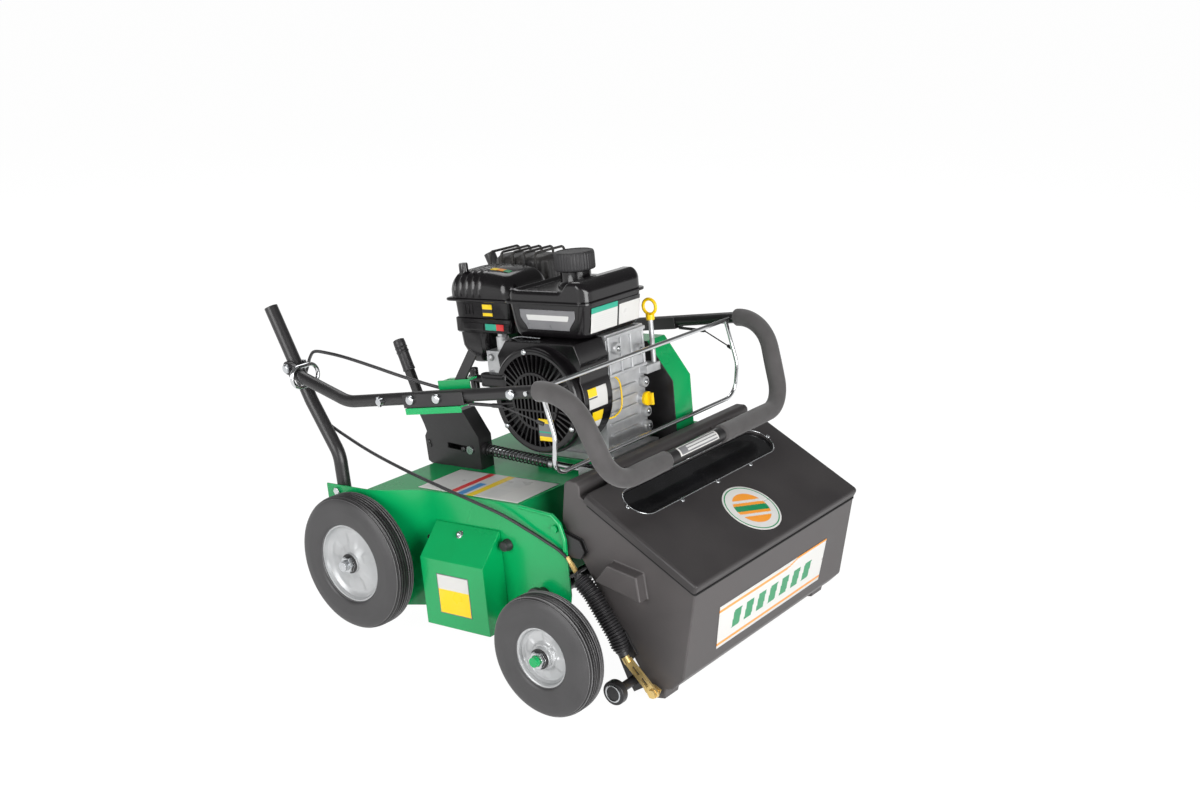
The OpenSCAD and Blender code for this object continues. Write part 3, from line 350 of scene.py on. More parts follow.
def domed(x: Span, y: Span, z0: float, top: Surface, corner: float, inset: float, drop: float, rings: int = 40,
          per: int = 10, relief: Callable[[Array], Array] | None = None) -> Shell:
    """A moulded box: a rounded outline goes straight up, turns in over a quarter ellipse, and shrinks to a pole.

    Args:
        x, y: the outline's sides.
        z0: the foot's height.
        top: the top's height over x and y.
        corner: the outline's corner radius.
        inset, drop: the quarter ellipse's width and height at the top edge.
        rings: outlines between the top edge and the pole.
        per: points on each side and corner.
        relief: moves the finished points.
    Returns:
        The closed shell.
    """
    turn = np.linspace(0, np.pi / 2, 9)
    bend = np.concatenate([np.zeros(6), inset * (1 - np.cos(turn))])
    fall = np.concatenate([np.full(6, drop), drop * (1 - np.sin(turn))])
    rise = np.concatenate([np.linspace(0, 1, 6, endpoint=False), np.ones(9)])
    edge = rounded(x[0] + bend, x[1] - bend, y[0] + bend, y[1] - bend, np.maximum(corner - bend, 3), per)
    middle = np.array([(x[0] + x[1]) / 2, (y[0] + y[1]) / 2])
    shrink = np.linspace(1, 0, rings + 1)[1:, None, None]
    plan = np.concatenate([edge, middle + (edge[-1:] - middle) * shrink])
    fall = np.concatenate([fall, np.zeros(rings)])[:, None]
    rise = np.concatenate([rise, np.ones(rings)])[:, None]
    z = z0 + rise * (top(plan[..., 0], plan[..., 1]) - fall - z0)
    grid = np.concatenate([plan, z[..., None]], -1)
    return over_grid(relief(grid) if relief else grid)


def bars(ends_a: Points, ends_b: Points, wide: Point | Array, deep: Point) -> Shell:
    """Flat bars, one for each pair of ends: a rectangle wide by deep carried from end to end.

    Args:
        ends_a, ends_b: the middles of the bars' ends.
        wide: half a bar's width as a vector, or one for each bar.
        deep: its depth as a vector.
    Returns:
        The closed shells.
    """
    a, b = np.asarray(ends_a, float), np.asarray(ends_b, float)
    w = np.broadcast_to(np.asarray(wide, float), a.shape)
    d = np.broadcast_to(np.asarray(deep, float), a.shape)
    box = np.stack([a - w, a + w, a + w + d, a - w + d, b - w, b + w, b + w + d, b - w + d], 1)
    one = np.array([[0, 1, 2, 3], [7, 6, 5, 4], [0, 4, 5, 1], [1, 5, 6, 2], [2, 6, 7, 3], [3, 7, 4, 0]])
    return Shell(box.reshape(-1, 3), (one[None] + 8 * np.arange(len(a))[:, None, None]).reshape(-1, 4))


def dome_heads(centres: Points, axis: Point, radius: float, height: float, sides: int = 20) -> Shell:
    """Low round heads: a quarter ellipse of radius and height turned about the axis at each centre."""
    turn = np.linspace(0, np.pi / 2, 7)
    r = np.concatenate([[radius, radius], radius * np.cos(turn[1:])])
    h = np.concatenate([[-1.0, 0.25 * height], height * (0.25 + 0.75 * np.sin(turn[1:]))])
    one = turned(r, h, (0, 0, 0), axis, sides)
    centres = np.asarray(centres, float)
    points = (centres[:, None] + one.points[None]).reshape(-1, 3)
    shift = len(one.points) * np.arange(len(centres))
    caps = [[i + int(s) for i in cap] for s in shift for cap in one.caps]
    return Shell(points, (one.quads[None] + shift[:, None, None]).reshape(-1, 4), caps)


# ---------------------------------------------------------------- finishes

def linear(code: str) -> tuple[float, float, float, float]:
    """An sRGB hex colour as linear red, green, blue and alpha."""
    s = np.array([int(code[i:i + 2], 16) for i in (1, 3, 5)]) / 255
    r, g, b = np.where(s <= 0.04045, s / 12.92, ((s + 0.055) / 1.055) ** 2.4)
    return float(r), float(g), float(b), 1.0


def fresh(owner: bpy.types.Material | bpy.types.World) -> bpy.types.NodeTree:
    """The empty nodes of a material or a world."""
    owner.use_nodes = True
    owner.node_tree.nodes.clear()
    return owner.node_tree


def add(tree: bpy.types.NodeTree, kind: str, settings: dict[Any, Any] | None = None,
        links: dict[Any, bpy.types.NodeSocket] | None = None) -> bpy.types.Node:
    """Adds a node with its settings and links.

    Args:
        tree: the material's nodes.
        kind: the node's type.
        settings: values for its properties, or for its inputs by name or number.
        links: outputs to join to its inputs.
    Returns:
        The node.
    """
    node = tree.nodes.new(kind)
    for key, value in (settings or {}).items():
        if isinstance(key, str) and hasattr(node, key):
            setattr(node, key, value)
        else:
            node.inputs[key].default_value = value
    for key, socket in (links or {}).items():
        tree.links.new(socket, node.inputs[key])
    return node


# Where the slow noise goes from one colour to the other, and from the smoother to the rougher.
SHADE_SPAN, ROUGH_SPAN = (0.35, 0.72), (0.3, 0.7)
# How far worn ink goes to its shade, how strongly a relief tilts the light, and a clear coat's roughness.
WEAR, TILT, COAT_ROUGHNESS = 0.06, 0.6, 0.08


class Grain(Enum):
    """What makes a surface's fine relief: soft lumps, as in paint, or cells, as in what is cast or foamed."""

    LUMPS = "ShaderNodeTexNoise"
    CELLS = "ShaderNodeTexVoronoi"


@dataclass(frozen=True)
class Finish:
    """A surface as the eye meets it.

    Sizes are in mm: grain is one lump or cell, relief its depth and patch a slow change.
    """

    name: str
    slot: str
    colour: str
    shade: str
    roughness: float
    spread: float
    grain: float
    relief: float
    patch: float
    pattern: Grain = Grain.LUMPS
    metallic: float = 0.0
    ior: float = 1.5
    coat: float = 0.0
    sheen: float = 0.0
    stretch: Spot = (1.0, 1.0, 1.0)
    printed: bool = False

    def material(self) -> bpy.types.Material:
        """The finish as nodes: slow noise mixes two colours and moves the roughness, and the grain raises a bump.

        Returns:
            The material, made once.
        """
        made = bpy.data.materials.get(self.name)
        if made:
            return made
        made = bpy.data.materials.new(self.name)
        tree = fresh(made)
        place = add(tree, "ShaderNodeTexCoord").outputs["Object"]
        drawn = add(tree, "ShaderNodeMapping", {"Scale": self.stretch}, {"Vector": place}).outputs[0]
        fine = add(tree, self.pattern.value, {"Scale": 1 / (self.grain * MM)}, {"Vector": drawn}).outputs[0]
        slow = add(tree, "ShaderNodeTexNoise", {"Scale": 1 / (self.patch * MM), "Detail": 4.0},
                   {"Vector": drawn}).outputs[0]
        part = add(tree, "ShaderNodeMapRange", {"From Min": SHADE_SPAN[0], "From Max": SHADE_SPAN[1]},
                   {"Value": slow}).outputs[0]
        rough = add(tree, "ShaderNodeMapRange",
                    {"From Min": ROUGH_SPAN[0], "From Max": ROUGH_SPAN[1], "To Min": self.roughness - self.spread,
                     "To Max": self.roughness + self.spread}, {"Value": slow}).outputs[0]
        if self.printed:
            ink = add(tree, "ShaderNodeAttribute", {"attribute_name": "print"}).outputs["Color"]
            worn = add(tree, "ShaderNodeMapRange", {"To Max": WEAR}, {"Value": part}).outputs[0]
            tint = add(tree, "ShaderNodeMix", {"data_type": "RGBA", 7: linear(self.shade)},
                       {0: worn, 6: ink}).outputs[2]
        else:
            tint = add(tree, "ShaderNodeMix", {"data_type": "RGBA", 6: linear(self.colour), 7: linear(self.shade)},
                       {0: part}).outputs[2]
        bump = add(tree, "ShaderNodeBump", {"Strength": TILT, "Distance": self.relief * MM},
                   {"Height": fine}).outputs[0]
        shader = add(tree, "ShaderNodeBsdfPrincipled",
                     {"Metallic": self.metallic, "IOR": self.ior, "Coat Weight": self.coat,
                      "Coat Roughness": COAT_ROUGHNESS, "Sheen Weight": self.sheen},
                     {"Base Color": tint, "Roughness": rough, "Normal": bump}).outputs[0]
        add(tree, "ShaderNodeOutputMaterial", {}, {"Surface": shader})
        return made


# Baked gloss enamel on sheet steel: an even colour, a clear skin over it and the faint orange peel of the spray.
GREEN_ENAMEL = Finish("green_baked_enamel", "green_paint", "#00A55C", "#009B54", 0.24, 0.05, 5.0, 0.03, 160,
                      coat=0.15)
# Satin powder coat on tube: a soft broad highlight with a fine pebble, drawn coarser than the real 0.2 mm to show.
BLACK_POWDER = Finish("black_powder_coat", "black_paint", "#242324", "#2A292A", 0.36, 0.06, 1.2, 0.03, 90)
# Bright zinc plating: a clear metal mirror, clouded a little by passivation.
BRIGHT_ZINC = Finish("bright_zinc_plate", "zinc", "#D3D5D6", "#BFC2C6", 0.24, 0.08, 1.0, 0.01, 14, metallic=1.0)
# Chrome plated wire: nearly a mirror, with drawing lines along the wire.
CHROME_WIRE = Finish("chrome_plated_wire", "chrome_wire", "#DCDDDE", "#CDCFD1", 0.13, 0.04, 1.4, 0.008, 30,
                     metallic=1.0)
# Yellow chromate over zinc: a straw colour that drifts to pink and green.
YELLOW_ZINC = Finish("yellow_chromate_zinc", "yellow_zinc", "#E3C47C", "#D9BE84", 0.34, 0.06, 0.8, 0.01, 20,
                     metallic=0.7)
# Die cast aluminium as it leaves the mould: bright, dull grained, with flow clouds.
CAST_ALLOY = Finish("die_cast_aluminium", "cast_alloy", "#CACBCC", "#B6B7B9", 0.44, 0.08, 1.3, 0.08, 24,
                    Grain.CELLS, metallic=0.6)
# Silver flake enamel on the pressed wheel discs: pale, with a half metallic sheen that follows the dish.
RIM_ENAMEL = Finish("silver_flake_enamel", "rim_paint", "#BEBFC0", "#B0B2B3", 0.36, 0.06, 3.0, 0.02, 60,
                    metallic=0.35)
# Natural rubber tyre with carbon black: dull grey black, dusted with release powder.
TYRE_RUBBER = Finish("carbon_black_tyre_rubber", "tyre_rubber", "#3B3A3B", "#444344", 0.47, 0.08, 0.9, 0.05, 55)
# The same rubber on the tread, polished by rolling: darker, with a glint along each rib.
TREAD_RUBBER = Finish("polished_tread_rubber", "tyre_rubber", "#232223", "#2B2A2B", 0.3, 0.07, 0.9, 0.03, 55)
# Pale rings at the ribs' edges: a painted highlight for the glint of light along each rib.
PAINTED_GLINT_RUBBER = Finish("scuffed_rubber", "tyre_rubber", "#706F70", "#5E5D5E", 0.4, 0.08, 0.9, 0.03, 40)
# Closed cell foam sleeve: matt, with cells of about half a millimetre drawn at 1.2 mm to show.
GRIP_FOAM = Finish("closed_cell_foam", "grip_foam", "#525050", "#494747", 0.88, 0.05, 1.2, 0.16, 40,
                   Grain.CELLS, ior=1.4, sheen=0.25)
# Rotation moulded polyethylene: black, waxy and finely leathered.
HOPPER_PLASTIC = Finish("rotomoulded_polyethylene", "hopper_plastic", "#464343", "#504C4C", 0.47, 0.07, 1.6, 0.05,
                        120, ior=1.51)
# A darker copy of the hopper's plastic for the lid: painted shade, as the lid's top meets less light than the
# hopper's front.
SHADED_LID_PLASTIC = Finish("black_moulded_polyethylene", "hopper_plastic", "#302D2E", "#393636", 0.47, 0.07, 1.6, 0.05, 120,
                     ior=1.51)
# Gloss moulded nylon on the engine: black with sharp highlights.
ENGINE_PLASTIC = Finish("gloss_moulded_nylon", "engine_plastic", "#100E10", "#161416", 0.18, 0.05, 2.2, 0.008, 70,
                        ior=1.5)
# Matt moulded polyethylene of the fuel cap: black with a dull, finely eroded face.
CAP_PLASTIC = Finish("matt_moulded_polyethylene", "engine_plastic", "#1D1C1E", "#242325", 0.55, 0.06, 1.1, 0.03, 30,
                     ior=1.51)
# Soft extruded vinyl and rubber: black with a low shine.
SOFT_RUBBER = Finish("black_extruded_vinyl", "soft_rubber", "#232224", "#2C2B2D", 0.42, 0.07, 1.0, 0.03, 35)
# Near-black rubber cord under the lid's edge, dull enough to take nearly all the light: painted shade for the shadow
# gap between lid and hopper.
SHADOW_GAP_RUBBER = Finish("sponge_rubber", "soft_rubber", "#0E0E0F", "#151516", 0.75, 0.06, 1.0, 0.05, 30,
                     Grain.CELLS, ior=1.4)
# Yellow moulded plastic of the oil fittings.
YELLOW_PLASTIC = Finish("yellow_moulded_nylon", "yellow_plastic", "#FFD400", "#F5C800", 0.34, 0.06, 1.4, 0.03, 20)
# Smoked acrylic of the seed window: dark and polished.
SMOKED_ACRYLIC = Finish("smoked_acrylic", "smoked_plastic", "#121213", "#1B1B1D", 0.07, 0.03, 9.0, 0.02, 60, ior=1.49)
# Bare machined steel of shafts and blades: bright with cutter lines.
BARE_STEEL = Finish("machined_steel", "steel", "#A9AAAC", "#97989B", 0.33, 0.08, 0.8, 0.02, 16,
                    metallic=1.0, stretch=(1, 6, 1))
# Heat proof black paint on the exhaust: dull and slightly burnt.
EXHAUST_PAINT = Finish("heat_proof_black", "steel", "#2A292A", "#383532", 0.5, 0.1, 1.0, 0.05, 30)
# Printed vinyl: the ink's colours come from the panel, under a clear film.
PRINTED_VINYL = Finish("printed_vinyl", "hopper_plastic", "#FFFFFF", "#D8D6D2", 0.32, 0.05, 2.0, 0.01, 40,
                       printed=True)

BY_SLOT: dict[str, Finish] = {finish.slot: finish for finish in (
    GREEN_ENAMEL, BLACK_POWDER, BRIGHT_ZINC, CHROME_WIRE, YELLOW_ZINC, CAST_ALLOY, RIM_ENAMEL, TYRE_RUBBER, GRIP_FOAM,
    HOPPER_PLASTIC, ENGINE_PLASTIC, SOFT_RUBBER, YELLOW_PLASTIC, SMOKED_ACRYLIC, BARE_STEEL)}


# ---------------------------------------------------------------- pieces

def linked(name: str, data: bpy.types.ID) -> bpy.types.Object:
    """A new object of some data, put in the scene."""
    obj = bpy.data.objects.new(name, data)
    bpy.context.scene.collection.objects.link(obj)
    return obj


def seated(mesh: bpy.types.Mesh, name: str, body: str | None, finish: Finish,
           sharp: float) -> bpy.types.Object:
    """Makes an object of a mesh, smooth but for its sharp edges, and lets it ride on its body.

    Args:
        mesh: the mesh, in place in the shared frame.
        name: the piece's name.
        body: the body that carries it, or None where it spans two and rides on neither.
        finish: its finish.
        sharp: edges over this angle, in degrees, stay sharp.
    Returns:
        The object.
    """
    mesh.polygons.foreach_set("use_smooth", np.ones(len(mesh.polygons), bool))
    mesh.set_sharp_from_angle(angle=math.radians(sharp))
    mesh.materials.append(finish.material())
    obj = linked(name, mesh)
    if body:
        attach(obj, body)
    log.info("%s: %s, on %s", name, finish.name, body or "two bodies")
    return obj


def soften(obj: bpy.types.Object, width: float, angle: float = 40.0, segments: int = 2,
           chosen: Callable[[Array], Array] | None = None) -> bpy.types.Object:
    """Rounds an object's edges.

    Args:
        obj: the piece.
        width: the rounding's width in mm.
        angle: edges over this angle, in degrees, are rounded.
        segments: faces across the rounding.
        chosen: tells from the edges' middles, in mm on the machine, which are rounded instead.
    Returns:
        The same piece.
    """
    bevel = obj.modifiers.new("edges", "BEVEL")
    bevel.width, bevel.segments, bevel.harden_normals = width * MM, segments, True
    bevel.limit_method, bevel.angle_limit = "ANGLE", math.radians(angle)
    if chosen:
        mesh = obj.data
        ends, points = np.zeros(2 * len(mesh.edges), np.int32), np.zeros(3 * len(mesh.vertices), np.float32)
        mesh.edges.foreach_get("vertices", ends)
        mesh.vertices.foreach_get("co", points)
        middles = MACHINE.measured(points.reshape(-1, 3)[ends.reshape(-1, 2)].mean(1))
        weight = mesh.attributes.new("bevel_weight_edge", "FLOAT", "EDGE")
        weight.data.foreach_set("value", chosen(middles).astype(np.float32))
        bevel.limit_method = "WEIGHT"
    return obj


def repaint(obj: bpy.types.Object, finish: Finish, chosen: Callable[[Array], Array]) -> bpy.types.Object:
    """Gives some of a piece's faces another finish.

    Args:
        obj: the piece.
        finish: the other finish.
        chosen: tells from the faces' middles, in mm on the machine, which take it.
    Returns:
        The same piece.
    """
    faces = obj.data.polygons
    middles, index = np.zeros(3 * len(faces), np.float32), np.zeros(len(faces), np.int32)
    faces.foreach_get("center", middles)
    faces.foreach_get("material_index", index)
    obj.data.materials.append(finish.material())
    index[chosen(MACHINE.measured(middles.reshape(-1, 3)))] = len(obj.data.materials) - 1
    faces.foreach_set("material_index", index)
    return obj


def piece(name: str, shell: Shell, finish: Finish, body: str | None = CHASSIS, replaces: Sequence[str] = (),
          sharp: float = 38.0, edges: float = 0.0) -> bpy.types.Object:
    """Makes a piece of a shell: doubles are merged and faces turned outwards.

    Args:
        name: the piece's name.
        shell: its surface.
        finish: its finish.
        body: the body that carries it, or None where it spans two and rides on neither.
        replaces: the nodes that it stands for.
        sharp: edges over this angle, in degrees, stay sharp.
        edges: the width of its edges' rounding, in mm.
    Returns:
        The object.
    """
    mesh = bpy.data.meshes.new(name)
    mesh.from_pydata(MACHINE.placed(shell.points).tolist(), [], shell.quads.tolist() + shell.caps)
    work = bmesh.new()
    work.from_mesh(mesh)
    bmesh.ops.remove_doubles(work, verts=work.verts[:], dist=MADE_MERGE)
    bmesh.ops.recalc_face_normals(work, faces=work.faces[:])
    work.to_mesh(mesh)
    work.free()
    obj = seated(mesh, name, body, finish, sharp)
    if replaces:
        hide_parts(*replaces)
    return soften(obj, edges) if edges else obj


def from_solid(node: str, edges: float = 0.8, finish: Finish | None = None, angle: float = 40.0,
               segments: int = 2) -> bpy.types.Object:
    """A node's own form with its edges rounded: its triangles are merged and its flat faces made whole first.

    Args:
        node: the node.
        edges: the width of the rounding in mm, or 0 for none.
        finish: its finish, or None for its slot's.
        angle: edges over this angle, in degrees, are rounded and kept sharp.
        segments: faces across the rounding.
    Returns:
        The object that stands for the node.
    """
    work = bmesh.new()
    work.from_mesh(frame["nodes"][node].data)
    bmesh.ops.remove_doubles(work, verts=work.verts[:], dist=SOLID_MERGE)
    bmesh.ops.dissolve_limit(work, angle_limit=math.radians(FLAT_ANGLE), verts=work.verts[:], edges=work.edges[:])
    mesh = bpy.data.meshes.new(f"{node}_piece")
    work.to_mesh(mesh)
    work.free()
    if "custom_normal" in mesh.attributes:
        mesh.attributes.remove(mesh.attributes["custom_normal"])
    slot = SLOT_OF[node]
    obj = seated(mesh, f"{node}_piece", BODY_OF[node], finish or BY_SLOT[slot], angle)
    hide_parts(node)
    return soften(obj, edges, angle, segments) if edges else obj


def from_solids(widths: dict[str, float], **ways: Any) -> None:
    """Stands for several nodes in order.

    Args:
        widths: each node's edge rounding in mm.
        ways: what from_solid takes besides, the same for all.
    """
    for node, edges in widths.items():
        from_solid(node, edges, **ways)


class Ink(Enum):
    """The printers' colours."""

    WHITE = "#DBDAD7"
    PALE = "#D5D5D3"
    GREY = "#77777A"
    BLACK = "#1B1B1D"
    GREEN = "#008A55"
    TEAL = "#12A88A"
    ORANGE = "#F39A2D"
    YELLOW = "#FFD800"
    RED = "#DE2A2C"
    BLUE = "#3A8FD2"


Inks = list[tuple[Array, Ink]]


@dataclass
class PrintedPanel:
    """A thin printed film: points over u and v, both from 0 to 1, and an ink for each cell."""

    name: str
    surface: Surface
    ink: Callable[[Array, Array], Inks]
    ground: Ink = Ink.WHITE
    cells: tuple[int, int] = (80, 40)
    thickness: float = 0.5
    body: str = CHASSIS

    def build(self) -> bpy.types.Object:
        """Lays the film: a grid of cells, each corner carrying its cell's ink, thickened inwards.

        Returns:
            The film.
        """
        n, m = self.cells
        u, v = np.meshgrid(np.linspace(0, 1, n + 1), np.linspace(0, 1, m + 1), indexing="ij")
        shell = over_grid(self.surface(u, v), around=False, capped=False)
        mesh = bpy.data.meshes.new(self.name)
        mesh.from_pydata(MACHINE.placed(shell.points).tolist(), [], shell.quads[:, ::-1].tolist())
        u, v = np.meshgrid((np.arange(n) + 0.5) / n, (np.arange(m) + 0.5) / m, indexing="ij")
        colour = np.broadcast_to(linear(self.ground.value), (n, m, 4)).copy()
        for where, ink in self.ink(u, v):
            colour[where] = linear(ink.value)
        film = mesh.color_attributes.new("print", "FLOAT_COLOR", "CORNER")
        film.data.foreach_set("color", np.repeat(colour.reshape(-1, 4), 4, axis=0).astype(np.float32).ravel())
        obj = seated(mesh, self.name, self.body, PRINTED_VINYL, 30)
        wall = obj.modifiers.new("film", "SOLIDIFY")
        wall.thickness, wall.offset = self.thickness * MM, -1.0
        return obj


def flat(origin: Point, u_side: Point, v_side: Point) -> Surface:
    """A flat surface: origin + u times one side + v times the other."""
    o, a, b = (np.asarray(p, float) for p in (origin, u_side, v_side))
    return lambda u, v: o + u[..., None] * a + v[..., None] * b


def fields(*rows: tuple[float, float, float, float, Ink]) -> Callable[[Array, Array], Inks]:
    """Inks in rectangles of u and v.

    Args:
        rows: u from and to, v from and to, and the ink of each rectangle; later ones lie over earlier ones.
    Returns:
        What a panel asks for its inks.
    """
    return lambda u, v: [((u > a) & (u < b) & (v > c) & (v < d), ink) for a, b, c, d, ink in rows]


# ---------------------------------------------------------------- studio

def facing(right: Array, back: Array, place: Point) -> Matrix:
    """A camera's or lamp's matrix: its columns are right, up, back and its place."""
    turn = np.column_stack([right, np.cross(back, right), back, place])
    return Matrix([*turn.tolist(), [0, 0, 0, 1]])


@dataclass(frozen=True)
class Lamp:
    """A soft round lamp: its place and width in metres, and its power in watts."""

    name: str
    place: Spot
    size: float
    power: float


@dataclass
class Studio:
    """The camera at the photograph's angle, a pale floor, soft lamps and a room of light."""

    focal: float = 42.4
    azimuth: float = 37.59
    elevation: float = 17.86
    place: Spot = (1.5918, -1.9685, 1.2029)
    floor_half: float = 60.0
    floor_glow: float = 1.1
    glow_share: float = 0.88
    aim: Spot = (0, 0, 0.3)
    # A broad key at the front, a fill at the near side and a soft one behind.
    lamps: tuple[Lamp, ...] = (Lamp("key", (3.5, -1.3, 1.1), 2.6, 132.0), Lamp("fill", (-0.4, -3.7, 1.5), 2.4, 80.0),
                               Lamp("back", (-1.9, 1.7, 3.9), 3.2, 75.0))
    # The room's light: height from and to, and its strength there. The second is a low band added to the first.
    room: tuple[tuple[float, float, float, float], ...] = ((0.0, 0.36, 0.7, 0.15), (0.08, 0.16, 0.36, 0.0))

    def camera(self) -> None:
        """Sets the camera from its place and two angles."""
        a, e = math.radians(self.azimuth), math.radians(self.elevation)
        right = np.array([math.cos(a), math.sin(a), 0.0])
        back = np.array([math.sin(a) * math.cos(e), -math.cos(a) * math.cos(e), math.sin(e)])
        data = bpy.data.cameras.new("camera")
        data.lens, data.sensor_width, data.sensor_fit = self.focal, 36.0, "HORIZONTAL"
        data.clip_end = 200.0
        obj = linked("camera", data)
        obj.matrix_world = facing(right, back, self.place)
        bpy.context.scene.camera = obj

    def floor(self) -> None:
        """Lays a pale floor: seen directly it is mostly its own white, so that the shadow on it stays faint."""
        side = self.floor_half
        mesh = bpy.data.meshes.new("floor")
        mesh.from_pydata([(-side, -side, 0), (side, -side, 0), (side, side, 0), (-side, side, 0)], [], [(0, 1, 2, 3)])
        made = bpy.data.materials.new("pale_floor")
        tree = fresh(made)
        ray = add(tree, "ShaderNodeLightPath")
        seen = ray.outputs["Is Camera Ray"]
        for other in ("Is Glossy Ray", "Is Transmission Ray"):
            seen = add(tree, "ShaderNodeMath", {"operation": "ADD", "use_clamp": True},
                       {0: seen, 1: ray.outputs[other]}).outputs[0]
        part = add(tree, "ShaderNodeMath", {"operation": "MULTIPLY", 1: self.glow_share}, {0: seen})
        matt = add(tree, "ShaderNodeBsdfDiffuse", {"Color": (0.9, 0.9, 0.9, 1)})
        white = add(tree, "ShaderNodeEmission", {"Color": (1, 1, 1, 1), "Strength": self.floor_glow})
        mix = add(tree, "ShaderNodeMixShader", {}, {0: part.outputs[0], 1: matt.outputs[0], 2: white.outputs[0]})
        add(tree, "ShaderNodeOutputMaterial", {}, {"Surface": mix.outputs[0]})
        mesh.materials.append(made)
        linked("floor", mesh)

    def hang(self) -> None:
        """Hangs the lamps, turned to the machine."""
        for lamp in self.lamps:
            data = bpy.data.lights.new(lamp.name, "AREA")
            data.shape, data.size, data.energy = "DISK", lamp.size, lamp.power
            back = unit(np.array(lamp.place) - self.aim)
            linked(lamp.name, data).matrix_world = facing(unit(np.cross(UP, back)), back, lamp.place)

    def surround(self) -> None:
        """Fills the room with a light that is strong at the horizon and low overhead; seen directly it is white."""
        world = bpy.data.worlds.new("studio")
        bpy.context.scene.world = world
        tree = fresh(world)
        way = add(tree, "ShaderNodeSeparateXYZ", {}, {0: add(tree, "ShaderNodeTexCoord").outputs["Generated"]})
        high, low = (add(tree, "ShaderNodeMapRange", {"From Min": a, "From Max": b, "To Min": c, "To Max": d},
                         {"Value": way.outputs[2]}).outputs[0] for a, b, c, d in self.room)
        level = add(tree, "ShaderNodeMath", {"operation": "ADD"}, {0: high, 1: low})
        seen = add(tree, "ShaderNodeLightPath").outputs["Is Camera Ray"]
        level = add(tree, "ShaderNodeMath", {"operation": "MAXIMUM"}, {0: level.outputs[0], 1: seen})
        light = add(tree, "ShaderNodeBackground", {"Color": (1, 1, 1, 1)}, {"Strength": level.outputs[0]})
        add(tree, "ShaderNodeOutputWorld", {}, {"Surface": light.outputs[0]})

    def build(self) -> None:
        """Sets the whole studio."""
        bpy.context.scene.view_settings.view_transform = "Standard"
        self.camera()
        self.floor()
        self.hang()
        self.surround()


# ---------------------------------------------------------------- cables

@dataclass
class ControlCables:
    """The seed cable from the lever to the hopper, and the clutch cables under the handle."""

    diameter: float = 6.0
    route: tuple[Spot, ...] = (
        (226, -286, 322), (187, -298, 332), (128, -310, 347), (70, -320, 363), (12, -328, 377), (-40, -326, 382),
        (-90, -310, 378), (-128, -290, 363), (-156, -278, 338), (-172, -278, 305), (-160, -281, 274),
        (-118, -284, 236), (-50, -288, 208), (20, -294, 187), (100, -297, 166), (180, -298, 147), (255, -297, 129),
        (318, -293, 111), (372, -288, 88), (410, -287, 72), (432, -284, 60), (449.6, -281, 43))
    still_from: int = 11
    moving_from: int = 6
    clutch_from: Spot = (428, -287, 281)
    handle_from: Spot = (8, -331, 296)
    handle_to: Spot = (497, -297, 347)

    def on_handle(self, x: float, y: float, z: float) -> Array:
        """A point in the straight handle's own axes: below it, inwards and along it."""
        start = np.array(self.handle_from, float)
        along = unit(np.array(self.handle_to) - start)
        low, turn = math.acos(along[2]), math.atan2(along[1], along[0])
        down = np.array([math.cos(low) * math.cos(turn), math.cos(low) * math.sin(turn), -math.sin(low)])
        return start + x * down + y * np.array([-math.sin(turn), math.cos(turn), 0]) + z * along

    def seed(self) -> None:
        """Runs the seed cable: a circle carried along a smooth curve through its route."""
        path = spline(self.route, 8)
        cable = piece("seed_cable_sheath", wire(path, self.diameter / 2, 14), SOFT_RUBBER, None, ["seed_cable"])
        MACHINE.placed(self.route[self.still_from]).tolist()
        MACHINE.placed(self.route[self.moving_from]).tolist()
        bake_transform(cable)
        placed = MACHINE.placed(path)

    def clutch(self) -> None:
        """Runs the clutch cables: a bare wire between two thicker ends, its radius set by the way from the bail."""
        end = np.array(self.clutch_from, float)
        middle, start = self.on_handle(22, 3, 345), self.on_handle(14.6, 0, 281.4)
        run = evenly(np.array([end, middle, start]), 3.0)
        bare = np.linalg.norm(middle - end)
        radius = np.interp(np.linalg.norm(run - end, axis=1),
                           [0, 13, 15, bare - 4, bare, bare + 14, bare + 16, 400], [3.5, 3.5, 1.3, 1.3, 4, 4, 3, 3])
        pair = piece("clutch_cable_pair", wire(run, radius, 12).both(), SOFT_RUBBER, None, ["clutch_cables"])
        MACHINE.placed(middle).tolist()
        MACHINE.placed(end).tolist()
        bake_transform(pair)

    def build(self) -> None:
        """Runs all cables."""
        self.seed()
        self.clutch()


# ---------------------------------------------------------------- wheels

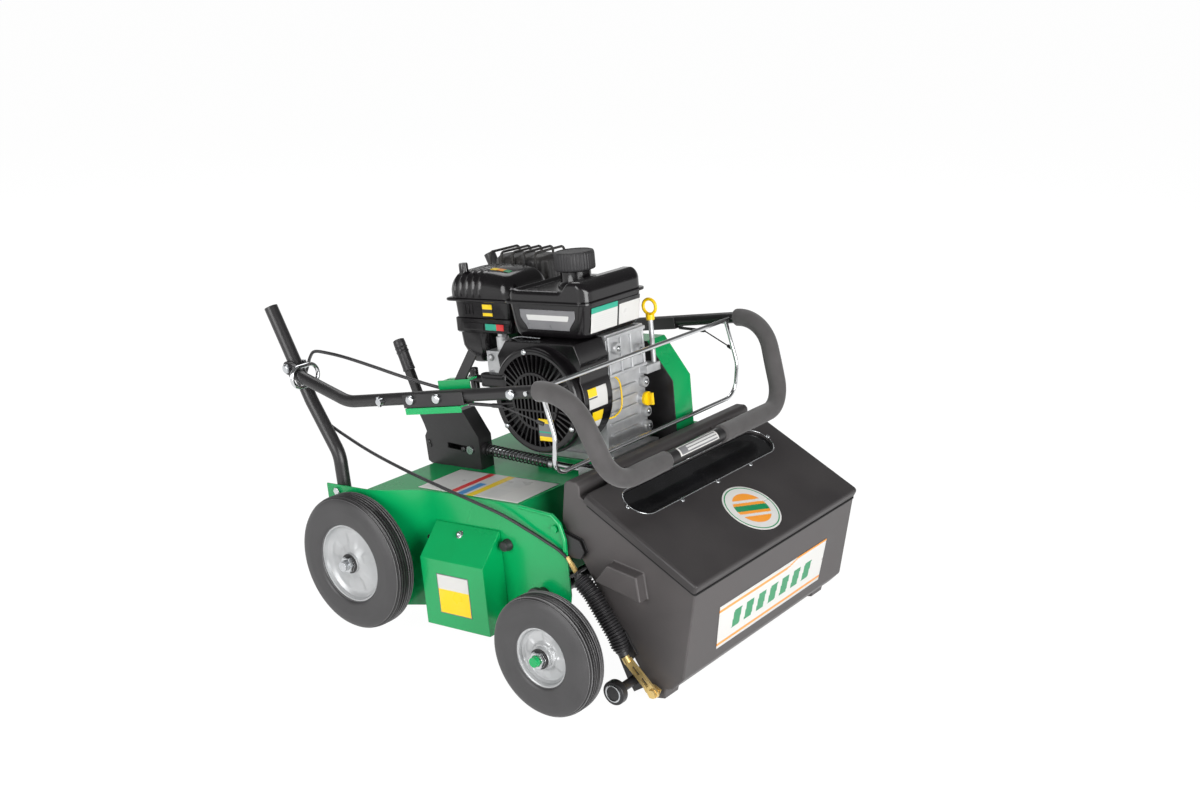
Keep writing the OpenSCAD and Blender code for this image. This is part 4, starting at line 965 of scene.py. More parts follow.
@dataclass
class Wheel:
    """A solid tyre with ring grooves on a dished disc."""

    name: str
    hub: Spot
    radius: float
    width: float
    rim: float
    bore: float
    hub_out: float
    hub_in: float
    lobes: int = 5
    grooves: tuple[float, ...] = (0.06, 0.165, 0.26, 0.345)
    depths: tuple[float, ...] = (3.4, 3.6, 3.6, 3.2)
    groove_half: float = 1.35
    # Where the painted highlight rings lie: their offset past each groove and their half width, in mm.
    glint_rings: Span = (1.9, 0.5)
    tread: float = 0.385
    lobe_rise: float = 2.2
    sides: int = 96

    @property
    def outward(self) -> Spot:
        """The direction away from the machine."""
        return 0.0, math.copysign(1.0, self.hub[1]), 0.0

    def tyre(self) -> Shell:
        """The tyre's half profile runs from bead over a full sidewall to the tread; ring grooves are cut by their
        distance across, and the profile is mirrored and turned about the hub."""
        w, r, rim = self.width, self.radius, self.rim
        half = evenly(spline([(rim, 0.36 * w), (rim + 2.5, 0.435 * w), (rim + 8, 0.482 * w),
                              (0.55 * rim + 0.45 * r, 0.5 * w), (r - 22, 0.494 * w), (r - 12, 0.46 * w),
                              (r - 5, 0.395 * w), (r - 1.2, 0.30 * w), (r, 0.16 * w), (r, 0.0)], 18), 0.7)
        off = (half[:, 1:] - np.array(self.grooves) * w) / self.groove_half
        groove = (np.array(self.depths) * np.exp(-off ** 4)).sum(1) * (half[:, 0] > r - 14)
        radius, height = half[:, 0] - groove, half[:, 1]
        return turned(np.concatenate([radius, radius[-2::-1]]), np.concatenate([height, -height[-2::-1]]), self.hub,
                      self.outward, self.sides, closed=True)

    def disc(self) -> Shell:
        """The disc's outer face runs from the hub's tube down into the dish and up to a rolled lip, and pressed lobes
        lift the dish by a squared cosine of the angle; the inner face lies a sheet's thickness behind."""
        w, rim, bore = self.width, self.rim, self.bore
        face = spline([(bore, self.hub_out), (bore + 8.5, self.hub_out), (bore + 9, 0.2 * w + 4),
                       (bore + 12, 0.2 * w + 2), (0.52 * rim, 0.07 * w + 3), (0.78 * rim, 0.06 * w + 3),
                       (0.9 * rim, 0.13 * w + 3), (rim - 3.4, 0.26 * w + 2), (rim - 2.6, 0.345 * w),
                       (rim - 0.6, 0.375 * w), (rim + 1.0, 0.37 * w)], 6)
        face[:, 1] = np.minimum(face[:, 1], self.hub_out)
        back = [(rim + 1.0, 0.36 * w), (rim - 1.5, 0.345 * w), (rim - 1.5, -0.35 * w), (rim - 4, -0.36 * w),
                (rim - 4.5, 0.24 * w), (0.78 * rim, 0.06 * w), (0.5 * rim, 0.06 * w), (bore + 9, 0.2 * w),
                (bore + 9, -self.hub_in), (bore, -self.hub_in)]
        profile = np.vstack([face, back])
        angle = np.linspace(0, 2 * np.pi, self.sides, endpoint=False)[:, None]
        lobe = ease((np.cos(self.lobes * angle) + 0.25) / 0.9)
        share = (profile[:, 0] - 0.34 * rim) / (0.5 * rim)
        band = ease(share / 0.22) * ease((1 - share) / 0.22) * (np.arange(len(profile)) < len(face))
        return turned(profile[:, 0], profile[:, 1] + self.lobe_rise * lobe * band, self.hub, self.outward, self.sides,
                      closed=True)

    def bearing(self) -> Shell:
        """A bearing's dark seal in the hub: a ring with a shallow groove, turned about the hub."""
        return turned(self.bore + np.array([0.4, 0.4, 3, 5, 6.5, 7, 7]),
                      self.hub_out + np.array([-4, 0.5, 0.5, 0.1, 0.6, 0.3, -4]), self.hub, self.outward, 48, True)

    def build(self) -> None:
        """Makes the tyre, the disc and the bearing's seal."""
        end, side = self.name.split("_")
        body = f"{end}_wheel_{side}"
        tyre = piece(f"{self.name}_tyre", self.tyre(), TYRE_RUBBER, body, [f"{end}_tyre_{side}"], 50)
        repaint(tyre, TREAD_RUBBER, lambda middles: np.abs(middles[:, 1] - self.hub[1]) < self.tread * self.width)
        # Pale rings painted along the ribs' edges stand for their glint: painted highlight.
        edges = np.array(self.grooves) * self.width + self.glint_rings[0]
        repaint(tyre, PAINTED_GLINT_RUBBER,
                lambda middles: np.abs(np.abs(middles[:, 1:2] - self.hub[1]) - edges).min(1) < self.glint_rings[1])
        piece(f"{self.name}_disc", self.disc(), RIM_ENAMEL, body, [f"{end}_rim_{side}"], 50)
        piece(f"{self.name}_seal", self.bearing(), SOFT_RUBBER, body)


def wheels() -> list[Wheel]:
    """The four wheels; the front hubs lie where the front tyres touch the ground.

    Returns:
        The wheels.
    """
    rear, front, base = 127, 105, 475
    drop = (front - rear - base * math.sin(MACHINE.tilt)) / math.cos(MACHINE.tilt)
    made = []
    for side, sign in (("right", -1), ("left", 1)):
        made.append(Wheel(f"rear_{side}", (0, sign * 353, 0), rear, 54, 73, 9.6, 19.0, 20.0))
        made.append(Wheel(f"front_{side}", (base, sign * 387, drop), front, 48, 51, 9.6, 20.0, 20.0, 4))
    return made


# ---------------------------------------------------------------- deck and drive

@dataclass
class DeckAndDrive:
    """The sheet steel deck with its covers, decal and drive."""

    top: float = 128.0
    edge_y: float = -281.5
    decal_x: Span = (99.0, 338.0)
    decal_y: Span = (-274.0, -160.0)
    cover_y: float = -335.0
    patch_x: float = 221.0
    patch_half: float = 38.0
    patch_z: Span = (-76.0, -2.0)
    bumper: Spot = (312.0, -280.0, 52.0)
    washer_y: float = 373.7

    def decal(self) -> None:
        """Lays the deck's decal: colour bars across a white field, with pale blocks."""
        (x0, x1), (y0, y1) = self.decal_x, self.decal_y
        bars_of = fields((0.03, 0.27, 0.1, 0.9, Ink.PALE), (0.31, 0.37, 0, 1, Ink.RED),
                         (0.40, 0.47, 0.45, 1, Ink.BLUE), (0.50, 0.57, 0, 1, Ink.YELLOW),
                         (0.62, 0.78, 0.1, 0.43, Ink.PALE), (0.62, 0.78, 0.57, 0.9, Ink.PALE))
        PrintedPanel("deck_decal", flat((x0, y1, self.top + FILM_GAP), (x1 - x0, 0, 0), (0, y0 - y1, 0)), bars_of,
                     cells=(100, 40)).build()

    def cover_patches(self) -> None:
        """Puts a plain patch on each cover's outer face: a white head over a yellow field, in a dark line."""
        halves = fields((0, 1, 0, 0.62, Ink.YELLOW), (0, 0.03, 0, 1, Ink.GREY), (0.97, 1, 0, 1, Ink.GREY),
                        (0, 1, 0, 0.03, Ink.GREY), (0, 1, 0.97, 1, Ink.GREY))
        low, high = self.patch_z
        for name, side in (("right", 1), ("left", -1)):
            corner = (self.patch_x - self.patch_half * side, side * (self.cover_y - FILM_GAP), low)
            PrintedPanel(f"cover_patch_{name}", flat(corner, (2 * self.patch_half * side, 0, 0), (0, 0, high - low)),
                         halves, cells=(50, 50)).build()

    def build(self) -> None:
        """Finishes the deck, covers and drive."""
        from_solids({"deck": 1.0, "reel_covers": 2.2, "belt_guard": 1.6, "guard_backplate": 0.5, "rear_axle": 0.6,
                     "reel_shaft": 0.6, "crankshaft": 0.6, "idler_arm": 0.6})
        bolts = from_solid("fasteners", 0.9, segments=3)
        repaint(bolts, BLACK_POWDER, lambda middles: ((np.abs(np.abs(middles[:, 1]) - self.washer_y) < 1.6)
                                                      & (np.abs(middles[:, 0]) < 30)))
        repaint(bolts, GREEN_ENAMEL, lambda middles: middles[:, 0] > 400)
        from_solids({"reel_blades": 0.0, "drive_belt": 1.0})
        self.decal()
        self.cover_patches()
        rim = ((349, 126.5), (419, 120), (434.5, 107), (442, 80), (442, 60))
        edge = bent_path([(x, self.edge_y, z) for x, z in rim], (14, 14, 20))
        piece("deck_rolled_edge", wire(edge, 3.6, 12).both(), GREEN_ENAMEL)
        slant = (0, -0.714, 0.7)
        screw = (dome_heads([(214.0, -297.3, 62.0)], slant, 7.5, 1.6, 24)
                 + dome_heads([(214.0, -297.9, 62.6)], slant, 5.4, 5.6, 6))
        piece("cover_screws", screw.both(), BRIGHT_ZINC, edges=0.5)
        bumper = lathe([(0, 15), (7, 15), (9, 13), (9.5, 6), (11, 4), (11, 0.2), (0, 0.2)], self.bumper, OUT, 32)
        piece("rubber_bumpers", bumper.both(), SOFT_RUBBER)


# ---------------------------------------------------------------- handle

@dataclass
class HandleFrame:
    """The bent tubes, foam grips, lock rings, bail and levers."""

    start: Spot = (8, -331, 296)
    corner_b: Spot = (497, -297, 347)
    corner_c: Spot = (545, -265, 183)
    bends: Span = (75, 60)
    foam_radius: float = 17.0
    foam_round: float = 5.0
    foam_lead: float = 66.0
    near_end: float = -115.3
    far_end: float = -50.3
    tube_radius: float = 11.1
    pivot: Spot = (-153.07, -327.3, 346.03)
    patch_radius: float = 13.9

    def foam(self, end_y: float) -> Shell:
        """One grip: a circle along the bent tube, whose radius falls in a quarter circle at both ends and swells and
        dips by a fraction of a millimetre along the way."""
        b, c, soft = np.array(self.corner_b, float), np.array(self.corner_c, float), self.foam_round
        first = b - unit(b - np.array(self.start)) * self.foam_lead
        path = bent_path([first, b, c, (c[0], end_y, c[2])], self.bends, 1.5)
        way = np.concatenate([[0], np.cumsum(np.linalg.norm(np.diff(path, axis=0), axis=1))])
        near = np.clip(np.minimum(way, way[-1] - way), 0, soft)
        radius = self.foam_radius - soft + np.sqrt(soft**2 - (soft - near) ** 2)
        radius = radius - 0.35 * (1 - np.cos(way / 23)) * ease(near / soft)
        return wire(path, radius, 32, (0.9, 0.3, 0.35))

    def heads(self) -> Shell:
        """The bolts' round heads on the straight tube and at the pivot, on both sides."""
        axes = ControlCables()
        out = axes.on_handle(0, -1, 0) - axes.on_handle(0, 0, 0)
        plate, lever = -self.tube_radius - 7.2, -self.tube_radius - 5.0
        heads = dome_heads([axes.on_handle(0, plate, along) for along in (165, 225)], out, 8.3, 3.6)
        heads = heads + dome_heads([axes.on_handle(0, lever, 385)], out, 8.6, 4.2)
        return (heads + dome_heads(np.array([self.pivot]) - [0, 5.0, 0], OUT, 8.0, 3.2)).both()

    def sleeve_patch(self) -> None:
        """Wraps a plain patch on the bar's sleeve, grey in a white line with two bars: v is the angle round it and u
        the way along."""
        x, _, z = self.corner_c

        def wrap(u: Array, v: Array) -> Array:
            """Points on a cylinder just outside the sleeve."""
            turn, r = np.radians(78 - 76 * v), self.patch_radius
            return np.stack([x + r * np.cos(turn), -92 + 118 * u, z + r * np.sin(turn)], -1)

        PrintedPanel("sleeve_patch", wrap, fields(
            (0.03, 0.97, 0.1, 0.9, Ink.GREY), (0.2, 0.97, 0.23, 0.43, Ink.PALE), (0.2, 0.97, 0.57, 0.77, Ink.PALE)),
                     cells=(60, 20), body="folding_handle").build()

    def build(self) -> None:
        """Makes the handle's pieces."""
        tubes = ("lower_handle_right", "lower_handle_left", "upper_handle", "bar_sleeve")
        from_solids(dict.fromkeys(tubes, 0.6), angle=55)
        from_solids(dict.fromkeys(("lock_ring_right", "lock_ring_left", "bail"), 0.0), angle=70)
        from_solids({"splice_plates": 0.8, "lever_bracket": 0.9, "seed_lever": 1.4})
        from_solid("handle_bolts", 1.2, segments=3)
        grips = piece("foam_grips", self.foam(self.near_end) + self.foam(self.far_end).mirrored(), GRIP_FOAM,
                      "folding_handle", ["handle_grips"], 60)
        piece("carriage_heads", self.heads(), BRIGHT_ZINC, "folding_handle")
        self.sleeve_patch()


# ---------------------------------------------------------------- depth setting

@dataclass
class DepthSetting:
    """The depth box with its lever, and the sprung rod to the front axle."""

    rod_rear: Spot = (117, -128, 165)
    slope: float = 3.6
    spring_from: float = 28.8
    spring_to: float = 181.7
    spring_radius: float = 9.5
    spring_wire: float = 1.5
    curls: int = 18
    travel: float = 55.0
    lever: Spot = (9, -128, 164)
    lean: float = 19.5
    stub_y: float = 418.0
    washer_y: float = 409.4

    @property
    def along(self) -> Array:
        """The rod's direction: forwards, down the slope."""
        s = math.radians(self.slope)
        return np.array([math.cos(s), 0, -math.sin(s)])

    def spring(self) -> Shell:
        """A coil: a circle along a helix whose pitch closes up over the last turn at both ends."""
        t = np.linspace(0, 1, self.curls * 28)
        close = 1.2 / self.curls
        rise = np.interp(t, [0, close, 1 - close, 1], [0, 0.35 * close, 1 - 0.35 * close, 1])
        turn = 2 * np.pi * self.curls * t[:, None]
        length = self.spring_to - self.spring_from - 2 * self.spring_wire
        run = self.spring_from + self.spring_wire + length * rise
        coil = np.cos(turn) * np.cross(self.along, ACROSS) + np.sin(turn) * np.array(ACROSS)
        path = np.array(self.rod_rear) + run[:, None] * self.along + self.spring_radius * coil
        return wire(path, self.spring_wire, 8, tuple(self.along))

    def grip(self) -> Shell:
        """The lever's moulded grip: a profile with two ring ridges and a domed end, turned about the lever."""
        a = math.radians(self.lean)
        profile = spline([(0, 148), (10.5, 148), (12, 150), (11.4, 156), (11.2, 180), (11.6, 184), (12.4, 186),
                          (11.5, 188.5), (11.5, 192), (12.4, 194), (11.5, 196.5), (11.6, 203), (10.6, 208.5),
                          (7, 211.2), (0, 211.8)], 5)
        return lathe(np.maximum(profile, 0), self.lever, (-math.sin(a), 0, math.cos(a)), 36)

    def build(self) -> None:
        """Makes the depth setting's pieces."""
        from_solids({"depth_box": 1.6, "depth_lever": 0.8, "depth_rod": 0.6})
        repaint(from_solid("front_axle", 0.8), GREEN_ENAMEL, lambda middles: np.abs(middles[:, 1]) > self.stub_y)
        repaint(from_solid("front_axle_nuts", 0.9, segments=3), BLACK_POWDER,
                lambda middles: np.abs(np.abs(middles[:, 1]) - self.washer_y) < 1.3)
        spring = piece("depth_coil_spring", self.spring(), BLACK_POWDER, replaces=["depth_spring"], sharp=60)
        MACHINE.turned(self.along).tolist()
        MACHINE.placed(np.array(self.rod_rear) + self.spring_from * self.along).tolist()
        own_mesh(spring)
        piece("depth_lever_grip", self.grip(), SOFT_RUBBER, "depth_hand_lever", sharp=60)
        piece("depth_box_pins", dome_heads([(98, -146.0, 164.5), (8, -146.0, 170)], OUT, 5.0, 3.0), BLACK_POWDER)


# ---------------------------------------------------------------- hopper

@dataclass
class SeedHopper:
    """The hopper with its lid, window, gate and bellows."""

    half: float = 264.0
    lid_half: float = 268.0
    lid_rear: Span = (488.0, 161.0)
    lid_slope: float = 31.4
    lid_front: float = 246.2
    # The outer profile's corners, in x and z.
    corners: tuple[Span, ...] = ((438, 172), (426, 105), (585, -172), (628, -160), (652, -138), (689.4, 18.8),
                                 (469.5, 172), (464, 178), (444, 178))
    # Which of them the front wall runs between.
    front: tuple[int, int] = (4, 5)
    # The window's slot: its middle down the lid, the half length between its round ends and their radius.
    slot: Spot = (57.0, 186.0, 32.6)
    rivets: tuple[Span, ...] = ((21, -110), (21, 0), (21, 108), (93, -110), (93, 0), (93, 108), (57, -222), (57, 222))
    bellows_top: Spot = (466, -281, 18)
    bellows_foot: Spot = (549, -281, -109)
    folds: int = 30
    fold_radius: float = 14.9
    fold_depth: float = 1.6
    cuff_radius: float = 9.0
    bow: float = 6.5
    gate_travel: float = 25.0
    roller_cap: Spot = (553.0, -326.0, -156.0)

    @property
    def line(self) -> tuple[Array, Array, float]:
        """The bellows' top, the way from it to the foot, and that way's length."""
        top = np.array(self.bellows_top, float)
        way = np.array(self.bellows_foot, float) - top
        return top, way, float(np.linalg.norm(way))

    @property
    def lid_up(self) -> Array:
        """The direction off the lid's face."""
        return self.on_lid(0, 0, 1) - self.on_lid(0, 0, 0)

    def on_lid(self, s: Array | float, y: Array | float, n: Array | float) -> Array:
        """Points in the lid's axes: down its slope, across it and off its face."""
        a = math.radians(self.lid_slope)
        s, y, n = np.broadcast_arrays(*(np.asarray(v, float) for v in (s, y, n)))
        return np.stack([self.lid_rear[0] + s * math.cos(a) + n * math.sin(a), y,
                         self.lid_rear[1] - s * math.sin(a) + n * math.cos(a)], -1)

    def hopper_edges(self, middles: Array) -> Array:
        """The outer edges: on the two sides, or along the corners of the outer profile."""
        apart = np.linalg.norm(middles[:, None, ::2] - np.array(self.corners), axis=-1).min(1)
        return (np.abs(middles[:, 1]) > self.half - 0.3) | (apart < 0.6)

    def lid_edges(self, middles: Array) -> Array:
        """The edges round the lid's face and down its two front corners, seen in the lid's axes."""
        a = math.radians(self.lid_slope)
        x, z = middles[:, 0] - self.lid_rear[0], middles[:, 2] - self.lid_rear[1]
        s, n = x * math.cos(a) - z * math.sin(a), x * math.sin(a) + z * math.cos(a)
        side, front = np.abs(middles[:, 1]) > self.lid_half - 0.3, s > self.lid_front - 0.7
        return (side | front) & (n > -0.4) | (side & front)

    def window_edge(self) -> Shell:
        """A thin zinc bead carried round the slot's stadium outline: a painted highlight for the light caught on the
        window's edge.
        """
        middle, half, radius = self.slot
        turn = np.linspace(0, np.pi, 25)
        cap = np.stack([radius * np.cos(turn), half + radius * np.sin(turn)], -1)
        loop = np.vstack([cap, -cap, cap[:1]]) + [middle, 0]
        loop = evenly(loop, 4.0)[:-1]
        return carried(self.on_lid(loop[:, 0], loop[:, 1], 0.1), circle(0.9, 8), self.lid_up, closed=True)

    def lid_seal(self) -> Shell:
        """A near-black cord under the lid's edge, painted shade for the shadow gap there: carried along one side, the
        front and the other side.
        """
        side, front = self.half + 0.4, self.lid_front
        corners = self.on_lid(np.array([8, front, front, 8.0]), np.array([-side, -side, side, side]), -18.6)
        return wire(bent_path(corners, (3.5, 3.5), 3.0), 2.1, 10, tuple(self.lid_up))

    def bellows(self) -> Shell:
        """The bellows: a circle carried along a line that bows forward, with a radius that goes in and out as a
        cosine of the way along and tapers to a cuff at each end."""
        top, way, length = self.line
        h = np.linspace(0, length, self.folds * 10 + 1)
        folds = self.fold_radius + self.fold_depth * np.cos(2 * np.pi * self.folds * h / length)
        cuff = ease((h - 2) / 5) * ease((length - 2 - h) / 20)
        bow = self.bow * ease(h / 40) * ease((length - h) / 40)
        path = top + h[:, None] * unit(way) + bow[:, None] * np.cross(unit(way), ACROSS)
        return wire(path, self.cuff_radius + (folds - self.cuff_radius) * cuff, 28)

    def ferrule(self) -> Shell:
        """The cable's threaded end: a radius with fine ring threads, turned about the bellows' line."""
        h = np.linspace(-38, -1, 120)
        radius = np.where(h > -26, 4.4 + 0.25 * np.cos(h * 2 * np.pi / 1.5), 3.8)
        return turned(np.pad(radius, 1), np.pad(h, 1, "edge"), *self.line[:2], 24)

    def badge(self) -> None:
        """Puts a plain oval badge on the lid: u goes from its middle to its rim and v round it."""
        def oval(u: Array, v: Array) -> Array:
            """Points of the oval."""
            turn = 2 * np.pi * v
            return self.on_lid(171 + 55 * u * np.sin(turn), 58 * u * np.cos(turn), CURVED_GAP)

        def rings(u: Array, v: Array) -> Inks:
            """A green line inside the rim, and an orange field crossed by a green band between two white ones."""
            turn = 2 * np.pi * v
            down = u * np.sin(turn) - 0.35 * (u * np.cos(turn))
            inner = u < 0.66
            return [((u > 0.9) & (u < 0.94), Ink.GREEN), (inner, Ink.ORANGE),
                    (inner & (np.abs(down) < 0.13), Ink.GREEN),
                    (inner & (np.abs(down - 0.32) < 0.06), Ink.WHITE),
                    (inner & (np.abs(down + 0.32) < 0.06), Ink.WHITE)]

        PrintedPanel("lid_badge", oval, rings, cells=(50, 120), body="lid").build()

    def sign(self) -> None:
        """Puts a plain sign on the front: orange lines above and below, and slanting green bars between."""
        low, high = (np.array(self.corners[k]) for k in self.front)
        out = unit(np.array([high[1] - low[1], low[0] - high[0]]))

        def sheet(u: Array, v: Array) -> Array:
            """Points on the front wall, narrowing a little downwards."""
            at = low + (high - low) * (0.125 + 0.515 * v)[..., None] + CURVED_GAP * out
            return np.stack([at[..., 0], (2 * u - 1) * (172 + 7 * v), at[..., 1]], -1)

        def lines(u: Array, v: Array) -> Inks:
            """Inks by the place on the sign."""
            slant = (u - 0.04 * v) * 9
            rise = 0.86 + 0.10 * ease((u - 0.6) / 0.14)
            return [((v > rise) & (v < rise + 0.05), Ink.ORANGE), ((v > 0.06) & (v < 0.13), Ink.ORANGE),
                    (v > rise + 0.05, Ink.PALE), (v < 0.06, Ink.PALE),
                    ((v > 0.3) & (v < 0.68) & (np.abs(slant - 4.3) < 3.6) & (np.mod(slant, 1) < 0.6), Ink.GREEN)]

        PrintedPanel("front_sign", sheet, lines, cells=(150, 48)).build()

    def build(self) -> None:
        """Makes the hopper's pieces."""
        soften(from_solid("hopper", 0), 4.2, segments=4, chosen=self.hopper_edges)
        # The lid takes the darker copy of the hopper's plastic: painted shade.
        soften(from_solid("hopper_lid", 0, SHADED_LID_PLASTIC), 6.0, segments=4, chosen=self.lid_edges)
        from_solids({"lid_window": 0.8, "hopper_brackets": 0.9, "seed_gate": 0.0, "feed_roller": 2.0})
        ring = [(12.6, -0.5), (12.6, 1.0), (13.2, 1.5), (14.6, 1.5), (15.2, 1.0), (15.2, -0.5)]
        piece("roller_cap_ring", lathe(ring, self.roller_cap, OUT, 40, True), BRIGHT_ZINC, "roller")
        # A near-black cord painted as the shadow gap under the lid's edge.
        piece("lid_seal", self.lid_seal(), SHADOW_GAP_RUBBER, sharp=60)
        # A bright bead round the window: painted highlight on its edge.
        piece("window_edge", self.window_edge(), BRIGHT_ZINC, "lid", sharp=60)
        rivets = self.on_lid(*np.transpose(self.rivets), 0.0)
        piece("window_rivets", dome_heads(rivets, self.lid_up, 4.2, 2.4), BRIGHT_ZINC, "lid")
        self.badge()
        self.sign()
        top, way, length = self.line
        bellows = piece("gate_rubber_bellows", self.bellows(), SOFT_RUBBER, replaces=["gate_bellows"], sharp=70)
        MACHINE.turned(way).tolist()
        MACHINE.placed(top).tolist()
        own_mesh(bellows)
        piece("cable_ferrule", self.ferrule(), YELLOW_ZINC)

# ---------------------------------------------------------------- engine

@dataclass
class Engine:
    """The petrol engine: castings, cowl, starter, tank, air cleaner, carburettor and exhaust."""

    crank: Span = (298.0, 276.0)
    cowl_radius: float = 100.0
    tank_x: Span = (206.0, 392.0)
    tank_y: Span = (-106.0, 66.0)
    cap: Spot = (306.0, -20.0, 0.0)
    cap_flutes: int = 40
    cleaner_x: Span = (28.0, 190.0)
    cleaner_y: Span = (-74.0, 46.0)
    cleaner_ribs: tuple[float, ...] = (50.0, 66.0, 82.0, 98.0, 114.0)
    fins: int = 44
    bowl: Spot = (148.0, -60.0, 0.0)
    silencer: Spot = (90.0, 97.0, 0.0)
    silencer_ribs: int = 28
    silencer_wave: float = 1.6
    silencer_top: float = 495.0
    grille_y: float = -146.0

    def tank(self) -> None:
        """The tank: a tapered lower half, a seam flange, and an upper half whose top is a height over x and y, with a
        sunk pocket open to the near side and a high block in front of it."""
        turn = np.linspace(0, np.pi / 2, 7)[:, None]
        side = np.sin(turn)
        foot = np.hstack([378 + 12 * (1 - np.cos(turn)), 226 - 10 * side, 372 + 10 * side,
                          -94 - 9 * side, 54 + 9 * side, 18 + 0 * turn])
        rise = [(400, 213, 385, -103.6, 63.6, 18), (441, *self.tank_x, -104, 64, 18)]
        flange = [(439.8, 206, 392, -104, 64, 18), (440.2, 200.6, 396.4, -111.4, 71.4, 20),
                  (441, 200, 397, -112, 72, 20), (444, 200, 397, -112, 72, 20),
                  (444.8, 200.6, 396.4, -111.4, 71.4, 20), (445.2, 206, 392, -104, 64, 18)]

        def top(x: Array, y: Array) -> Array:
            """The top's height."""
            land = 466 + 15 * ease((x - 334) / 22) - 12 * ease((x - 370) / 26) - 6 * ease((226 - x) / 20)
            sunk = ease((x - 222) / 9) * ease((344 - x) / 12) * ease((46 - y) / 10) * (0.4 + 0.6 * ease((y + 97) / 9))
            return land * (1 - sunk) + 459 * sunk

        upper = domed(self.tank_x, self.tank_y, 444.5, top, 22, 9, 9, rings=64, per=18)
        piece("tank_shell", stacked(np.vstack([foot, rise]), 10) + stacked(flange, 10) + upper, ENGINE_PLASTIC,
              replaces=["fuel_tank"], sharp=40)
        neck = [(34, 457), (34, 462), (30, 466), (28, 470), (28, 487), (24.5, 487), (24.5, 457)]
        piece("tank_neck", lathe(neck, self.cap, UP, 48, True), ENGINE_PLASTIC, edges=0.8)

    def fuel_cap(self) -> None:
        """The cap: a skirt whose radius is fluted by the angle, and a flat top with a low ring."""
        turn = np.linspace(0, 2 * np.pi, 6 * self.cap_flutes, endpoint=False)[:, None]
        flute = 0.45 * (1 + np.cos(self.cap_flutes * turn))
        # Radius, height and the flutes' share.
        r, h, skirt = np.transpose([
            (0, 472, 0), (24, 472, 0), (24, 489, 0), (35.6, 489, 0.4), (36.8, 490.5, 1), (37.0, 493, 1),
            (37.0, 515, 1), (36.4, 519.5, 0.8), (35.0, 522.0, 0.3), (32.0, 522.8, 0), (30.6, 522.6, 0),
            (30.0, 521.6, 0), (0, 521.6, 0)])
        piece("fuel_cap_moulding", turned(r - flute * skirt, h, self.cap, UP, len(turn)), CAP_PLASTIC, "filler_cap",
              ["fuel_cap"], 34)

    def crown(self, x: Array, y: Array) -> Array:
        """The height of the air cleaner's low crown."""
        return 489 - 10 * ((x - 109) / 81) ** 2 - 5 * ((y + 14) / 60) ** 2

    def cleaner(self) -> None:
        """The air cleaner: a stepped lower box, a seam flange and a dome with ring ribs over its rear half."""
        lower = [(312, 62, 96, -56, 34, 12), (316, 58, 102, -60, 36, 14), (345, 44, 112, -66, 40, 14),
                 (370, 41, 113, -66, 40, 14), (373, 36, 182, -70, 42, 12), (398, 36, 182, -70, 42, 12),
                 (400, 40, 178, -67, 40, 12), (433, 38, 180, -68, 41, 12)]
        flange = [(431, 30, 188, -72, 44, 14), (432, 23, 195, -77, 49, 16), (433, 22, 196, -78, 50, 16),
                  (436, 22, 196, -78, 50, 16), (437, 23, 195, -77, 49, 16), (438, 28, 190, -74, 46, 16)]

        def ribbed(grid: Array) -> Array:
            """Lifts the ribs by a bell of x, up on the top and outwards on the near side."""
            off = (grid[..., :1] - np.array(self.cleaner_ribs)) / 2.2
            lift = 1.7 * np.exp(-off ** 4).sum(-1) * ease((grid[..., 2] - 440) / 6)
            near = ease((-grid[..., 1] - 30) / 30)
            grid[..., 2] += lift * (1 - 0.6 * near) * ease((30 - grid[..., 1]) / 20)
            grid[..., 1] -= lift * near
            return grid

        def band(u: Array, v: Array) -> Array:
            """A strip along the crown, in front of the ribs."""
            x, y = 119 + 46 * u, -43 + 11 * v
            return np.stack([x, y, self.crown(x, y) + CURVED_GAP], -1)

        PrintedPanel("cleaner_band", band, fields((0.35, 1, 0, 1, Ink.ORANGE), (0.7, 1, 0, 1, Ink.GREEN)), Ink.YELLOW,
                     (40, 10)).build()
        dome = domed(self.cleaner_x, self.cleaner_y, 436.5, self.crown, 26, 24, 30, rings=50, per=26, relief=ribbed)
        piece("cleaner_shell", stacked(lower, 10) + stacked(flange, 10) + dome, ENGINE_PLASTIC,
              replaces=["air_cleaner"], sharp=40)
        self.cleaner_bits()

    def cleaner_bits(self) -> None:
        """What sits on the air cleaner: a knob with cut flutes, a bolt, vents and two ledges."""
        turn = np.linspace(0, 2 * np.pi, 60, endpoint=False)[:, None]
        r = np.array([0, 8.5, 8.8, 8.8, 7.8, 0]) - 0.8 * (np.cos(10 * turn) > 0) * np.array([0, 0, 1, 1, 0.5, 0])
        knob = turned(r, (478, 478, 480, 497, 500.5, 501), (60, -52, 0), UP, len(turn))
        piece("cleaner_knob", knob, ENGINE_PLASTIC)
        bolt = lathe([(0, 0), (9, 0), (9, 8), (8, 11), (0, 12)], (37, -44, 372), REARWARD, 6)
        piece("cleaner_bolt", bolt, BRIGHT_ZINC, edges=0.6)
        foot, head = ([(x, -67.6, z) for x in (66, 75, 84)] for z in (406, 426))
        piece("cleaner_vents", bars(foot, head, (2.5, 0, 0), (0, -1.2, 0)), ENGINE_PLASTIC, edges=0.5)
        ledges = bars([(60, -66, 384), (120, -66, 384)], [(112, -66, 384), (176, -66, 384)], (0, 0, 7), (0, -5.5, 0))
        piece("cleaner_ledges", ledges, ENGINE_PLASTIC, edges=1.5)

